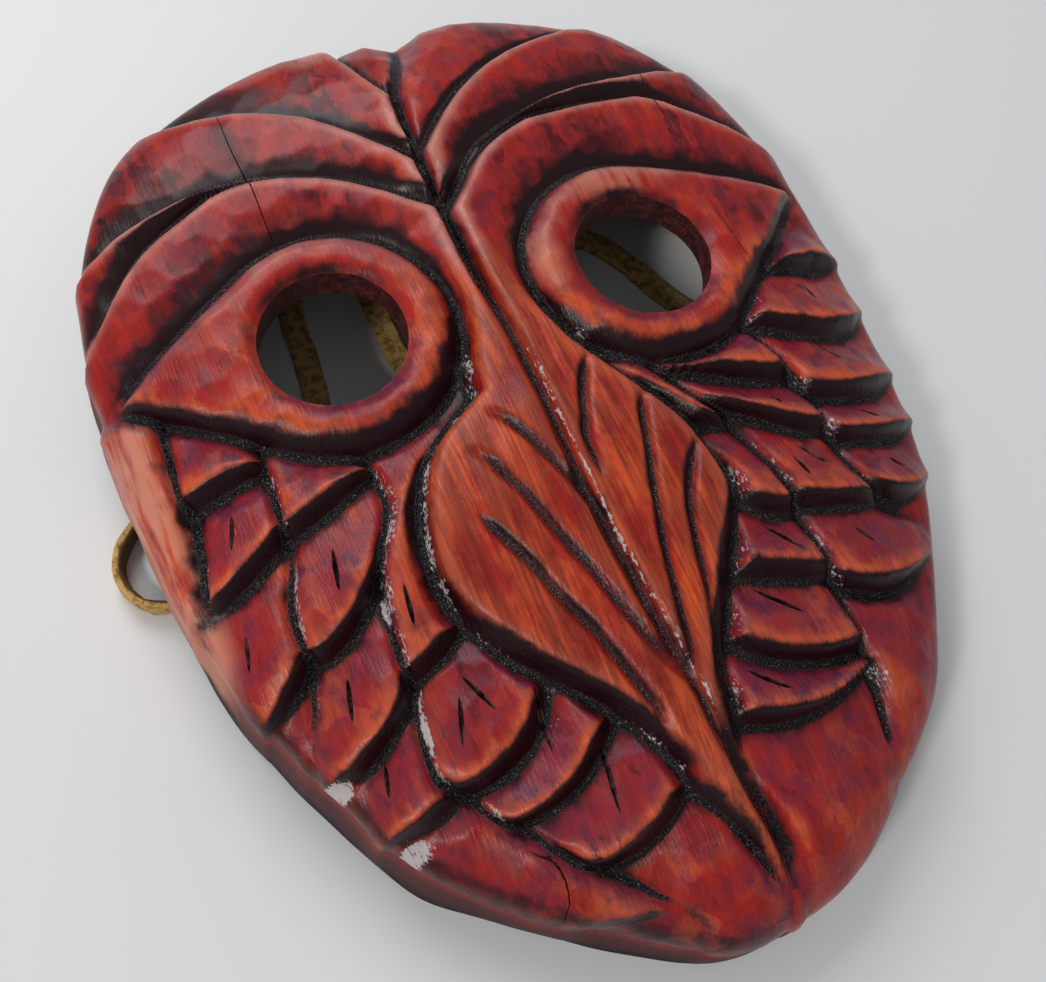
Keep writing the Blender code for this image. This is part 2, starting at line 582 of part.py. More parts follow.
def mask_mesh():
    """Points and faces of the whole mask, before its sockets are bored."""
    front_plan, front, front_loops = face_plan()
    roof_plan, roof, roof_loops = hollow_plan()
    face = carved(front_plan[:, 0], front_plan[:, 1])
    ceiling = np.stack([roof_plan[:, 0] * SCALE_X, roof_plan[:, 1] * SCALE_Y,
                        hollow_height(roof_plan[:, 0], roof_plan[:, 1])], -1) * MM
    count = len(face)
    faces = facing_up(front_plan, front)
    faces += [tuple(i + count for i in t[::-1]) for t in facing_up(roof_plan, roof)]
    roof_loops = [i + count for i in roof_loops]
    for start in (OUTLINE_POINTS, OUTLINE_POINTS + EYE_POINTS):
        faces += ladder(roof_loops[start:start + EYE_POINTS], front_loops[start:start + EYE_POINTS])

    outline = ring_of(1.0)
    edge = carved(outline[:, 0], outline[:, 1])
    wall = np.stack([outline[:, 0] * SCALE_X * MM, outline[:, 1] * SCALE_Y * MM, 0 * outline[:, 0]], -1)
    foot = rim_arch(wall[:, 1])
    points = [face, ceiling]
    loop = front_loops[:OUTLINE_POINTS]
    count += len(ceiling)
    for share in (0.72, 0.42, 0.0):
        ring = wall + (edge - wall) * share**WALL_FOLLOW
        ring[:, 2] = foot + (edge[:, 2] - foot) * share
        points.append(ring)
        lower = list(range(count, count + OUTLINE_POINTS))
        faces += ladder(loop, lower)
        loop = lower
        count += OUTLINE_POINTS
    inner = np.vstack(points)[roof_loops[:OUTLINE_POINTS]]
    inner[:, 2] = rim_arch(inner[:, 1])
    points.append(inner)
    lower = list(range(count, count + OUTLINE_POINTS))
    faces += ladder(loop, lower)
    faces += ladder(lower, roof_loops[:OUTLINE_POINTS])
    return np.vstack(points), faces


def material(name, colour, roughness):
    made = bpy.data.materials.new(name)
    made.use_nodes = True
    shader = made.node_tree.nodes["Principled BSDF"]
    shader.inputs["Base Color"].default_value = (*colour, 1)
    shader.inputs["Roughness"].default_value = roughness
    return made


def build_mask():
    """The mask, and how far it was moved to stand centred on the origin."""
    points, faces = mask_mesh()
    middle = (points.min(axis=0) + points.max(axis=0)) / 2
    shift = np.array([-middle[0], -middle[1], 0.0])
    data = bpy.data.meshes.new("mask")
    data.from_pydata([tuple(p) for p in points + shift], [], faces)
    mask = bpy.data.objects.new("mask", data)
    bpy.context.scene.collection.objects.link(mask)
    bm = bmesh.new()
    bm.from_mesh(data)
    bmesh.ops.triangulate(bm, faces=bm.faces)
    bm.to_mesh(data)
    bm.free()
    data.materials.append(material("stained_wood", (0.28, 0.03, 0.025), 0.35))
    return mask, shift


def bore_sockets(mask, shift):
    """Two blind holes in the inner sides, where the lace's ends are glued in."""
    inner = float(rim_line(SOCKET_PLACE / MM / SCALE_Y)) * SCALE_X * MM * INNER_SHARE
    start, end = inner - SOCKET_DEPTH, inner + SOCKET_DEPTH
    for side in (-1, 1):
        bpy.ops.mesh.primitive_cylinder_add(vertices=14, radius=LACE_DIAMETER / 2 + SOCKET_CLEARANCE,
                                            depth=end - start, rotation=(0, radians(90), 0))
        cutter = bpy.context.object
        cutter.name = "socket_cutter_" + ("left" if side < 0 else "right")
        cutter.location = (side * (start + end) / 2 + shift[0], SOCKET_PLACE + shift[1], SOCKET_HEIGHT)
        cutter.hide_render = True
        cutter.display_type = "WIRE"
        bore = mask.modifiers.new("socket", "BOOLEAN")
        bore.operation = "DIFFERENCE"
        bore.object = cutter


def build_lace(shift):
    """The lace lies on the table and climbs at both ends to its sockets."""
    low = LACE_DIAMETER / 2 + LACE_FLOOR_GAP
    route = spline(LACE_ROUTE, LACE_SPACING)
    climb = low + (SOCKET_HEIGHT - low) * np.clip(route[:, 2], 0, 1)
    places = np.stack([route[:, 0] * SCALE_X * MM, route[:, 1] * SCALE_Y * MM, climb], -1) + shift
    curve = bpy.data.curves.new("lace", "CURVE")
    curve.dimensions = "3D"
    curve.bevel_depth = LACE_DIAMETER / 2
    curve.bevel_resolution = 2
    curve.use_fill_caps = True
    line = curve.splines.new("POLY")
    line.points.add(len(places) - 1)
    for point, place in zip(line.points, places):
        point.co = (*place, 1)
    lace = bpy.data.objects.new("lace", curve)
    bpy.context.scene.collection.objects.link(lace)
    curve.materials.append(material("suede", (0.45, 0.26, 0.06), 0.95))


for old in list(bpy.data.objects):
    bpy.data.objects.remove(old, do_unlink=True)
mask_object, centring = build_mask()
bore_sockets(mask_object, centring)
build_lace(centring)
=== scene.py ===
# %% [markdown]
# A hand-carved owl mask. The real one is a single block of wood, hollowed at the back,
# carved with gouges and a knife, stained red and purple, blackened in its cuts and varnished.
# A suede lace is glued into the hollow and comes out in a loop under the left rim.
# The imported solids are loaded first. They give the places that everything here keeps to.

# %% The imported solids
import json
from math import cos, pi, radians, sin

import bpy
import numpy as np
from mathutils import Matrix, Vector

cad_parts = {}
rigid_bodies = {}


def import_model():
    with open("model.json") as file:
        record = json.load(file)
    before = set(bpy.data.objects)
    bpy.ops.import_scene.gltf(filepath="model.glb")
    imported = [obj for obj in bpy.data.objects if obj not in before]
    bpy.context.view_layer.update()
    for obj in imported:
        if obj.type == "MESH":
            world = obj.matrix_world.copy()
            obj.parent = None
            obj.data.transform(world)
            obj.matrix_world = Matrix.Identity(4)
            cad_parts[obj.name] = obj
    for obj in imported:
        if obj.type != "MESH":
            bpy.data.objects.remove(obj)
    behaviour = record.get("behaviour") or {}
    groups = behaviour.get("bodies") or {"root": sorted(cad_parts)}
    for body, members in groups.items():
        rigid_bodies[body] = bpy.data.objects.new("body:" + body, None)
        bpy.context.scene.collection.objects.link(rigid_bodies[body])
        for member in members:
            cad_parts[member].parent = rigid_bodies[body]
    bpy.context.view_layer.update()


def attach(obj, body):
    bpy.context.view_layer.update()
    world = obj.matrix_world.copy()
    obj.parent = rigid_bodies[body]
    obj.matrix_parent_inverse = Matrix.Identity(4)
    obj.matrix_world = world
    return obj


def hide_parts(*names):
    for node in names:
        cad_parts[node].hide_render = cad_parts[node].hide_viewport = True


MM = 0.001
for old in list(bpy.data.objects):
    bpy.data.objects.remove(old, do_unlink=True)
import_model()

# %% [markdown]
# The camera comes first, so that each piece can be judged from where the photograph was taken.
# The photographer stood over the chin, a little to the left, and held the camera turned.
# A camera is placed by a matrix: its columns are its right, its up and the way behind it.

# %% The camera
AIM = Vector((-0.012337, -0.015220, 0.030))
CAMERA_DISTANCE = 0.325787
CAMERA_AZIMUTH = radians(-40.0989)
CAMERA_ELEVATION = radians(64.6897)
CAMERA_ROLL = radians(17.7095)
FOCAL_LENGTH = 42.63

behind = Vector((sin(CAMERA_AZIMUTH) * cos(CAMERA_ELEVATION),
                 -cos(CAMERA_AZIMUTH) * cos(CAMERA_ELEVATION), sin(CAMERA_ELEVATION)))
level_right = (-behind).cross(Vector((0, 0, 1))).normalized()
level_up = level_right.cross(-behind)
camera_right = level_right * cos(CAMERA_ROLL) + level_up * sin(CAMERA_ROLL)
camera_up = level_up * cos(CAMERA_ROLL) - level_right * sin(CAMERA_ROLL)
camera_place = AIM + behind * CAMERA_DISTANCE
bpy.ops.object.camera_add()
camera = bpy.context.object
camera.matrix_world = Matrix((
    (camera_right.x, camera_up.x, behind.x, camera_place.x),
    (camera_right.y, camera_up.y, behind.y, camera_place.y),
    (camera_right.z, camera_up.z, behind.z, camera_place.z),
    (0, 0, 0, 1)))
camera.data.sensor_width = 36
camera.data.lens = FOCAL_LENGTH
bpy.context.scene.camera = camera
print("camera at", tuple(round(v, 4) for v in camera_place))

# %% [markdown]
# The carving is drawn in millimetres on a plan of the face, with the same named sizes as the
# solids have. Curves through a few points are enough, because a knife cut is a smooth line.

# %% Sizes and the drawing
MASK_DEPTH = 52.7
SIDE_HEIGHT = 27.3
CHIN_HEIGHT = 16.0
CHIN_FALLS_FROM = 50
FOREHEAD_ROUNDNESS = 2.78
CHIN_ROUNDNESS = 2.0
DOME_ROUNDNESS = 2.81
WALL = 12.0
EDGE_WALL = 7.2
INNER_SHARE = 1 - 10.0 / 109.0
TEMPLE_ARCH = 8.2
ARCH_START = -66.0
ARCH_END = 54.0
HALF_WIDTH = 110.0
FOREHEAD = 283.5 * 0.436
CHIN = 283.5 - FOREHEAD
MIDLINE_Y = 0.8
CORNER_SHARPNESS = 60
STRETCH_X = 1.00171
CENTRING_Y = 17.325
FLATS = ((185.7, 107.8), (204.5, 116.8), (233.3, 137.7), (310.2, 139.2), (334.2, 119.2), (354.3, 107.8))
HOLE_RADIUS = 19.3
LID_RADIUS = 33.0
EYE_CENTRES = ((-46.5, 17.0), (42.0, 13.8))
EYE_CORNERS = ((-106.6, 23.3), (106.0, 27.0))
BROW_STEP, BROW_LIP, BROW_CREST = 6.4, 3.0, 0.30
FEATHER_STEP, FEATHER_LIP, FEATHER_CREST, FEATHER_CURVE = 6.6, 4.6, 0.06, 0.9
EYE_STEP, EYE_ROUNDING, EYE_DROP = 5.0, 6.5, 1.5
HOLE_ROUNDING, HOLE_FALL = 5.5, 2.2
BEAK_RISE, BEAK_STEP, RIDGE_RISE = 3.8, 6.4, 0.9
CENTRE_DEPTH, QUILL_DEPTH, BEAK_CUT_DEPTH = 3.6, 3.2, 2.8
CENTRE_HALF_WIDTH, QUILL_HALF_WIDTH, BEAK_CUT_HALF_WIDTH = 2.2, 2.0, 1.7
BROW_CUT_DEPTH, LID_CUT_DEPTH, TIP_CUT_DEPTH = 1.2, 1.8, 0.8
BROW_CUT_HALF_WIDTH, LID_CUT_HALF_WIDTH, TIP_CUT_HALF_WIDTH = 1.6, 2.2, 1.4
SAG = 1.3
DEEPEST = 10.0
DEEPEST_AT_RIM = ((-90, -35, -12, 14, 35, 70), (2.2, 4.0, 6.0, 6.0, 4.2, 2.0))
TOP_NOTCH_DEPTH, TOP_NOTCH_HALF_WIDTH = 4.5, 9.0

LEFT_QUILLS = (
    ((-97, 16), (-97, -12), (-99.5, -34), (-104, -48), (-103, -62), (-97, -80), (-86, -102), (-70, -126)),
    ((-75, -2), (-76.3, -28.5), (-81.3, -45), (-81.6, -58), (-84.5, -66), (-89.5, -85), (-84, -106),
     (-68, -128)),
    ((-52, -15), (-50.5, -30), (-59, -48), (-62, -72), (-64.5, -92), (-61, -101), (-42, -124.6),
     (-17, -150)),
    ((-20, -11.2), (-37.6, -23.6), (-46, -43), (-46.2, -62.9), (-38.6, -77.3), (-21.6, -97),
     (-12, -113), (-9.8, -120), (-4, -130.5), (0.6, -139.7), (5.2, -151)),
)
RIGHT_QUILLS = (
    ((13, -5), (21.3, -19.5), (30.1, -36), (33.4, -52.5), (32.6, -61), (24.4, -75.3), (12, -95.9),
     (7.5, -111), (5.6, -119), (5.8, -127), (7.2, -136), (9.2, -151)),
    ((30, -17), (36.5, -31), (43.7, -42.8), (47.9, -59.2), (49.4, -80), (49.6, -100), (50, -114),
     (47.7, -129)),
    ((57, -9), (64.3, -21.4), (68.6, -42.1), (70.8, -62.1), (77, -74), (85.5, -80), (88, -86), (86.5, -92),
     (84, -104), (76, -126)),
)
LEFT_TIPS = (
    ((16, -2, 0), (-13, -10.5, 0), (-40, -29.5, -1.5), (-76, -62, -2), (-96, -87, 0), (-130, -132, 0)),
    ((-3, -16, -1), (-30.3, -21.3, -1), (-61, -47.8, -4.5), (-90, -77.5, -4), (-108, -103, -1),
     (-132, -148, 0)),
    ((-16, -12, 0), (-74.3, -66.3, -1), (-103.5, -84.5, -5), (-114, -99.5, -4), (-131, -121, -3),
     (-175, -175, 0)),
)
RIGHT_TIPS = (
    ((-6, -17, 0), (-37, -43, 0), (-60, -69.5, -2), (-79, -88.5, 0), (-93, -108, -4), (-112, -110.5, -6),
     (-175, -165, 0)),
    ((-17, -9, 0), (-20.5, -33.5, -3), (-36, -51.4, -3.5), (-68, -74.2, -0.5), (-91, -91, -5.5),
     (-165, -150, 0)),
    ((-8, 23, 0), (4, -4, 0), (-14, -18, -8), (-40.7, -41, -2.8), (-54.2, -56, -2.5), (-72, -71, -4),
     (-150, -130, 0)),
)
LEFT_BROWS = (
    ((-4.5, 47.5), (-28.7, 67), (-53, 74.5), (-70.3, 70), (-87, 62.5), (-101, 50), (-113, 38)),
    ((-4.5, 48.3), (-28.7, 67.5), (-53.7, 75.8), (-78.7, 75), (-94, 72), (-114, 64)),
    ((-3.7, 65), (-13.7, 77.5), (-27, 91.7), (-43.7, 101.7), (-58, 106), (-80, 112)),
    ((-0.3, 91), (-3.5, 99), (-7, 112), (-9, 130)),
)
RIGHT_BROWS = (
    ((-3, 46), (2.4, 51.6), (13.3, 62.5), (28, 69.3), (45, 70.5), (60, 70.5), (71, 69), (85, 60.5),
     (98, 52), (114, 42)),
    ((-3, 46.7), (2.4, 52.3), (13.3, 64.2), (26.7, 71), (45, 77), (66.7, 79.4), (90, 82), (114, 84)),
    ((-1.5, 69), (10, 81.7), (22.5, 91.7), (36.7, 99.2), (54, 105), (80, 112)),
)
CENTRE_CUT = ((12.5, 130), (8, 112), (3, 99), (-0.3, 88), (-3.7, 58), (-4, 30), (-4, -10), (-4.8, -40),
              (-4.6, -60), (-3.7, -70), (-3.1, -80), (-1.7, -90), (-0.3, -100), (0.6, -110), (2.3, -120),
              (4, -130), (6.3, -141), (7.5, -151))
BEAK_LINES = (
    ((-19.6, -17), (-16.2, -21.5), (-12.3, -29.3), (-9.3, -37), (-6.4, -46), (-5, -51)),
    ((-28.4, -25.9), (-24, -31.3), (-19.6, -42), (-15.7, -55.8), (-11.8, -67.5), (-8.3, -80), (-5.2, -89),
     (-2.5, -97)),
    ((-33.3, -40.6), (-30.4, -47), (-25.5, -57.7), (-21.6, -69.5), (-17.8, -79), (-14.4, -90), (-11.5, -99.4),
     (-9.5, -107)),
    ((13.7, -9.7), (9.8, -14.6), (5.9, -21.5), (2.9, -29.3), (1, -34.2), (0, -45)),
    ((23, -23.4), (18.6, -30.3), (14.7, -42), (10.8, -53.8), (6.6, -69), (4.2, -82), (2.3, -92.5),
     (1.2, -100)),
    ((29.4, -41.6), (23.5, -49), (18.6, -57.7), (15.7, -67.5), (13.2, -78.5), (10.9, -88), (9.2, -96),
     (8, -102)),
)
CHEEK_HOOK = ((87, -90), (82, -95), (70, -97.5), (60, -96), (50, -91.5))
QUILL_END = -90.0
print("drawn curves:", len(LEFT_QUILLS + RIGHT_QUILLS + LEFT_BROWS + RIGHT_BROWS + BEAK_LINES) + 2)

# %% [markdown]
# Some helpers are needed all through: a smooth curve through drawn points, a soft step from
# 0 to 1, and a mesh made of listed points and faces. Operators act on all that is selected,
# so before each of them exactly one piece is selected.

# %% Curves and meshes
LINE_SPACING = 2.0


def spline(points, spacing=LINE_SPACING):
    """A smooth curve through the points, as an array with a point about every spacing."""
    p = np.array(points, float)
    ends = np.vstack([2 * p[0] - p[1], p, 2 * p[-1] - p[-2]])
    made = []
    for a, b, c, d in zip(ends, ends[1:], ends[2:], ends[3:]):
        steps = max(1, round(float(np.linalg.norm(c - b)) / spacing))
        t = (np.arange(steps) / steps)[:, None]
        made.append(0.5 * (2 * b + (c - a) * t + (2 * a - 5 * b + 4 * c - d) * t**2
                           + (3 * b - a - 3 * c + d) * t**3))
    return np.vstack(made + [p[-1:]])


def ease(t):
    """0 to 1, slow at both ends."""
    t = np.clip(t, 0, 1)
    return t * t * (3 - 2 * t)


def select_only(piece):
    """Deselects everything, then selects and activates one piece."""
    for other in bpy.context.view_layer.objects:
        other.select_set(False)
    piece.select_set(True)
    bpy.context.view_layer.objects.active = piece


def mesh_piece(name, points, faces):
    """A new mesh object from arrays of points and faces."""
    data = bpy.data.meshes.new(name)
    data.from_pydata([tuple(p) for p in points], [], faces)
    piece = bpy.data.objects.new(name, data)
    bpy.context.scene.collection.objects.link(piece)
    return piece


def face_outwards(piece):
    """Turns every face of a closed mesh outwards."""
    select_only(piece)
    bpy.ops.object.mode_set(mode="EDIT")
    bpy.ops.mesh.select_all(action="SELECT")
    bpy.ops.mesh.normals_make_consistent(inside=False)
    bpy.ops.object.mode_set(mode="OBJECT")


print("centre cut:", len(spline(CENTRE_CUT)), "points")

# %% [markdown]
# The lace is a strip cut from suede, 7 mm wide and 2.6 mm thick. Its golden nap shows on one
# face and its smooth brown skin on the other. It lies flat in the hollow and stands on edge
# where it bends round in the loop outside the rim. A strip is lofted here from rounded
# rectangles that follow the lace's route, because only then can it turn over along its way.

# %% The lace
LACE_WIDTH = 7.0
LACE_THICKNESS = 2.6
LACE_GAP = 0.25
SOCKET_HEIGHT = 13.0
LACE_ROUTE = (
    (-102.4, 36.0, 1.00), (-96.5, 36.0, 1.00), (-91.0, 35.8, 0.90), (-84.5, 34.0, 0.58),
    (-79.6, 28.4, 0.18), (-80.4, 20.0, 0.0), (-88.0, 13.2, 0.0), (-98.0, 9.0, 0.0), (-107.0, 4.6, 0.0),
    (-113.2, -1.4, 0.0), (-115.6, -8.6, 0.0), (-113.6, -15.8, 0.0), (-107.4, -20.2, 0.0),
    (-98.0, -20.6, 0.0), (-86.0, -15.8, 0.0), (-72.0, -6.6, 0.0), (-58.6, 5.0, 0.0), (-50.0, 20.0, 0.0),
    (-47.0, 38.0, 0.0), (-45.4, 56.0, 0.0), (-38.6, 69.0, 0.0), (-28.0, 69.6, 0.0), (-22.0, 60.0, 0.0),
    (-21.6, 44.0, 0.0), (-20.0, 27.0, 0.0), (-10.0, 13.6, 0.0), (5.0, 12.0, 0.0), (18.0, 22.0, 0.0),
    (27.6, 38.0, 0.0), (38.0, 51.0, 0.0), (50.0, 51.6, 0.0), (59.0, 40.0, 0.0), (65.6, 25.0, 0.0),
    (73.0, 13.6, 0.0), (82.6, 13.6, 0.07), (86.4, 24.0, 0.36), (90.6, 33.6, 0.82), (96.5, 36.0, 1.00),
    (102.4, 36.0, 1.00),
)
LACE_RIM_POINTS = 20
LACE_SPACING = 3.0
ON_EDGE_FROM, ON_EDGE_OVER = 96, 11
NARROWS_FROM, NARROWS_OVER = 94, 6
EDGE_LEAN = 0.94
END_NARROWING = 0.30
NAP_ROUGHNESS = 0.18


def rounded_section(count):
    """A rounded rectangle of unit width and height, as rows of (across, thick)."""
    turn = (np.arange(count) + 0.5) * 2 * pi / count
    c, s = np.cos(turn), np.sin(turn)
    return np.stack([np.sign(c) * np.abs(c) ** 0.45, np.sign(s) * np.abs(s) ** 0.55], -1) / 2


def build_lace():
    """The strip's mesh, and the centres of its rings in metres."""
    route = spline(LACE_ROUTE, LACE_SPACING)
    on_edge = ease((-route[:, 0] - ON_EDGE_FROM) / ON_EDGE_OVER)
    half_high = 0.5 * (LACE_WIDTH * on_edge + LACE_THICKNESS * (1 - on_edge)) + LACE_GAP
    height = half_high + (SOCKET_HEIGHT - half_high) * np.clip(route[:, 2], 0, 1)
    centres = np.stack([route[:, 0] * STRETCH_X, route[:, 1] + CENTRING_Y, height], -1)
    ahead = np.gradient(centres, axis=0)
    ahead /= np.linalg.norm(ahead, axis=1, keepdims=True)
    side = np.cross(ahead, (0, 0, 1))
    side /= np.linalg.norm(side, axis=1, keepdims=True)
    up = np.cross(side, ahead)
    lean = (on_edge * pi / 2 * EDGE_LEAN)[:, None]
    wide = side * np.cos(lean) + up * np.sin(lean)
    thick = up * np.cos(lean) - side * np.sin(lean)
    near_end = ease((np.abs(route[:, 0]) - NARROWS_FROM) / NARROWS_OVER) * (route[:, 1] > 30)
    narrow = 1 - END_NARROWING * near_end
    section = rounded_section(LACE_RIM_POINTS)
    rings = (centres[:, None] + wide[:, None] * section[:, :1] * LACE_WIDTH * narrow[:, None, None]
             + thick[:, None] * section[:, 1:] * LACE_THICKNESS)
    draw = np.random.default_rng(5)
    rings += draw.normal(0, NAP_ROUGHNESS, rings.shape)
    count = len(centres)
    points = np.vstack([rings.reshape(-1, 3), centres[:1], centres[-1:]]) * MM
    faces = []
    n = LACE_RIM_POINTS
    for r in range(count - 1):
        for k in range(n):
            faces.append((r * n + k, r * n + (k + 1) % n, (r + 1) * n + (k + 1) % n, (r + 1) * n + k))
    first, last = count * n, count * n + 1
    faces += [(first, (k + 1) % n, k) for k in range(n)]
    faces += [(last, (count - 1) * n + k, (count - 1) * n + (k + 1) % n) for k in range(n)]
    strip = mesh_piece("suede_lace", points, faces)
    # The darker skin face shows only where the lace stands on edge in the loop: partly the suede's own skin,
    # partly painted shade inside the loop.
    skin_and_shade = np.append((on_edge[:, None] * np.clip(section[:, 1] * 3, 0, 1)).ravel(), (0, 0))
    strip.data.attributes.new("skin_and_shade_side", "FLOAT", "POINT").data.foreach_set("value", skin_and_shade)
    return strip, centres * MM


suede_lace, lace_line = build_lace()
face_outwards(suede_lace)
bpy.ops.object.shade_smooth()
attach(suede_lace, "root")
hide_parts("lace")
print("lace:", len(suede_lace.data.polygons), "faces, measured length",
      round(float(np.linalg.norm(np.diff(lace_line, axis=0), axis=1).sum()), 3))

# %% [markdown]
# The block is an oval with a few sawn flats. Its face is a dome that drops to a side wall,
# and the side wall is lower at the chin. These functions give the uncut wood, so that the
# carving can later be measured down from it, square to its surface.

# %% The uncut wood
def outline_share(x, y):
    """0 at the middle of the face and 1 on its outline, an oval with flats."""
    above = y > MIDLINE_Y
    n = np.where(above, FOREHEAD_ROUNDNESS, CHIN_ROUNDNESS)
    b = np.where(above, FOREHEAD, CHIN)
    oval = (np.abs(x / HALF_WIDTH) ** n + np.abs((y - MIDLINE_Y) / b) ** n + 1e-12) ** (1 / n)
    whole = oval**CORNER_SHARPNESS
    for direction, reach in FLATS:
        out = x * cos(radians(direction)) + (y - MIDLINE_Y) * sin(radians(direction))
        whole = whole + np.maximum(out / reach, 0) ** CORNER_SHARPNESS
    return whole ** (1 / CORNER_SHARPNESS)


def outline_point(angle):
    """The outline's point in each direction from the middle, as rows of x and y."""
    far = 100 * np.stack([np.cos(angle), np.sin(angle)], -1)
    return far / outline_share(far[..., 0], far[..., 1] + MIDLINE_Y)[..., None] + (0, MIDLINE_Y)


def side_height(y):
    """Height of the side wall's top edge."""
    chin = np.clip((-y - CHIN_FALLS_FROM) / (CHIN - CHIN_FALLS_FROM), 0, 1) ** 2
    return SIDE_HEIGHT + (CHIN_HEIGHT - SIDE_HEIGHT) * chin


def dome(x, y):
    """The uncarved face's height."""
    share = np.clip(outline_share(x, y), 0, 1)
    edge = side_height(y)
    return edge + (MASK_DEPTH - edge) * np.sqrt(1 - share**DOME_ROUNDNESS + 1e-12)


def dome_normal(x, y):
    """The uncarved face's outward direction; level at the outline."""
    e = 0.05
    inner = np.minimum(1, 0.998 / np.maximum(outline_share(x, y), 1e-6))
    px, py = x * inner, (y - MIDLINE_Y) * inner + MIDLINE_Y
    gx = (dome(px + e, py) - dome(px - e, py)) / (2 * e)
    gy = (dome(px, py + e) - dome(px, py - e)) / (2 * e)
    n = np.stack([-gx, -gy, np.ones_like(gx)], -1)
    return n / np.linalg.norm(n, axis=-1, keepdims=True)


def hollow_height(x, y):
    """Height of the hollow's roof."""
    share = np.clip(outline_share(x, y) / INNER_SHARE, 0, 1)
    edge = side_height(y) - EDGE_WALL
    return edge + (MASK_DEPTH - WALL - edge) * np.sqrt(1 - share**DOME_ROUNDNESS + 1e-12)


def rim_arch(y):
    """Height of the rim's underside over the table."""
    middle, half = (ARCH_START + ARCH_END) / 2, (ARCH_END - ARCH_START) / 2
    return TEMPLE_ARCH * (1 - ease(np.abs(y - middle) / half))


def placed(points):
    """Drawn points, in millimetres, moved to where the solids stand, in metres."""
    return (points * (STRETCH_X, 1, 1) + (0, CENTRING_Y, 0)) * MM


RIGHT_EDGE = outline_point(np.linspace(-pi / 2, pi / 2, 721))
print("outline reaches x", round(float(RIGHT_EDGE[:, 0].max()), 1))

# %% [markdown]
# Feathers and brows are lapped like shingles: each rises slowly, and drops in a short face
# onto the next. One function gives that profile from two distances, and everything else is
# a V cut along a line. The depths are only numbers at places, so any mesh can take them.

# %% Measuring on the drawing
LEFT_LINES, RIGHT_LINES, LEFT_BROW_LINES, RIGHT_BROW_LINES, BEAK_CUTS = (
    [spline(line) for line in lines]
    for lines in (LEFT_QUILLS, RIGHT_QUILLS, LEFT_BROWS, RIGHT_BROWS, BEAK_LINES))
CENTRE_LINE, HOOK = spline(CENTRE_CUT), spline(CHEEK_HOOK)


def across(curve, y):
    """x of a curve that runs down the face, at each y."""
    return np.interp(-y, -curve[:, 1], curve[:, 0])


def along(curve, x):
    """y of a curve that runs from the nose to the rim, at each x."""
    order = np.argsort(curve[:, 0])
    return np.interp(x, curve[order, 0], curve[order, 1])


def nearest(curve, x, y):
    """How far each place is from a curve, and how far along it the nearest point lies."""
    best, place, start = np.full(x.shape, np.inf), np.zeros(x.shape), 0.0
    for (ax, ay), (bx, by) in zip(curve, curve[1:]):
        dx, dy = bx - ax, by - ay
        t = np.clip(((x - ax) * dx + (y - ay) * dy) / (dx * dx + dy * dy), 0, 1)
        away = np.hypot(x - ax - t * dx, y - ay - t * dy)
        place = np.where(away < best, start + t * np.hypot(dx, dy), place)
        best = np.minimum(best, away)
        start += float(np.hypot(dx, dy))
    return best, place, start


def distance(curve, x, y):
    """How far each place is from a curve."""
    return nearest(curve, x, y)[0]


def tapered_cut(curve, x, y, depth, half_width):
    """A V cut that the knife enters slowly and leaves sooner."""
    away, place, length = nearest(curve, x, y)
    taper = np.clip(place / 9, 0, 1) ** 0.7 * np.clip((length - place) / 7 + 0.3, 0, 1)
    return cut(away, depth * taper, half_width * (0.25 + 0.75 * taper))


def cut(away, depth, half_width):
    """A V cut's depth, at each distance from its line."""
    return depth * np.clip(1 - away / half_width, 0, 1)


def shingle(near, far, lip, step, crest, reach=26.0):
    """Depth of a lapped facet: a short fall to the near line, a long rise from the far line."""
    span = near + far
    lip = np.minimum(lip, 0.3 * span) + 1e-6
    rise = np.minimum(span - lip, reach) + 1e-6
    fall, climb = np.clip(1 - near / lip, 0, 1), np.clip(1 - far / rise, 0, 1) ** SAG
    return step * 0.5 * (fall + climb + np.sqrt((fall - climb) ** 2 + crest**2))


def eye_edge(eye, x, y):
    """Signed distance to an eye's almond: a circle drawn out to a corner. Negative inside."""
    (cx, cy), (kx, ky) = EYE_CENTRES[eye], EYE_CORNERS[eye]
    length = float(np.hypot(kx - cx, ky - cy))
    ux, uy = (kx - cx) / length, (ky - cy) / length
    s = (x - cx) * ux + (y - cy) * uy
    t = np.abs((y - cy) * ux - (x - cx) * uy)
    lean = LID_RADIUS / length
    flat = np.sqrt(1 - lean * lean)
    k = -lean * t + flat * s
    on_side = t * flat + s * lean - LID_RADIUS
    on_circle = np.hypot(s, t) - LID_RADIUS
    past_corner = np.hypot(s - length, t)
    return np.where(k < 0, on_circle, np.where(k > flat * length, past_corner, on_side))


print("almond at an eye's centre:", round(float(eye_edge(0, *np.array(EYE_CENTRES[0])[:, None])[0]), 1), "mm")

# %% [markdown]
# Each part of the face has its own depth function. The feathers hang in columns between the
# quill cuts. A column is a row of lapped facets, each from one drawn tip to the next, and a
# shallow cut marks every tip. The facets curve, as they would round a real feather.

# %% Feathers
def tip_height(tip, u):
    """y of a feather's tip across its column, straight or sagging."""
    left, right, sag = tip
    return left + (right - left) * u + sag * 4 * u * (1 - u)


def feather_column(x, y, left, right, tips):
    """Depth in one column of lapped feathers, and how far a place lies inside the column."""
    width = np.maximum(right - left, 0.5)
    u = np.clip((x - left) / width, 0, 1)
    depth = np.full(x.shape, FEATHER_STEP)
    for upper, lower in zip(tips, tips[1:]):
        above, below = tip_height(upper, u) - y, y - tip_height(lower, u)
        here = (above >= 0) & (below > 0)
        lapped = shingle(below, above, FEATHER_LIP, FEATHER_STEP, FEATHER_CREST)
        tip_cut = cut(np.minimum(above, below), TIP_CUT_DEPTH, TIP_CUT_HALF_WIDTH)
        depth = np.where(here, lapped + tip_cut, depth)
    return depth + FEATHER_CURVE * (2 * u - 1) ** 2, np.minimum(x - left, right - x)


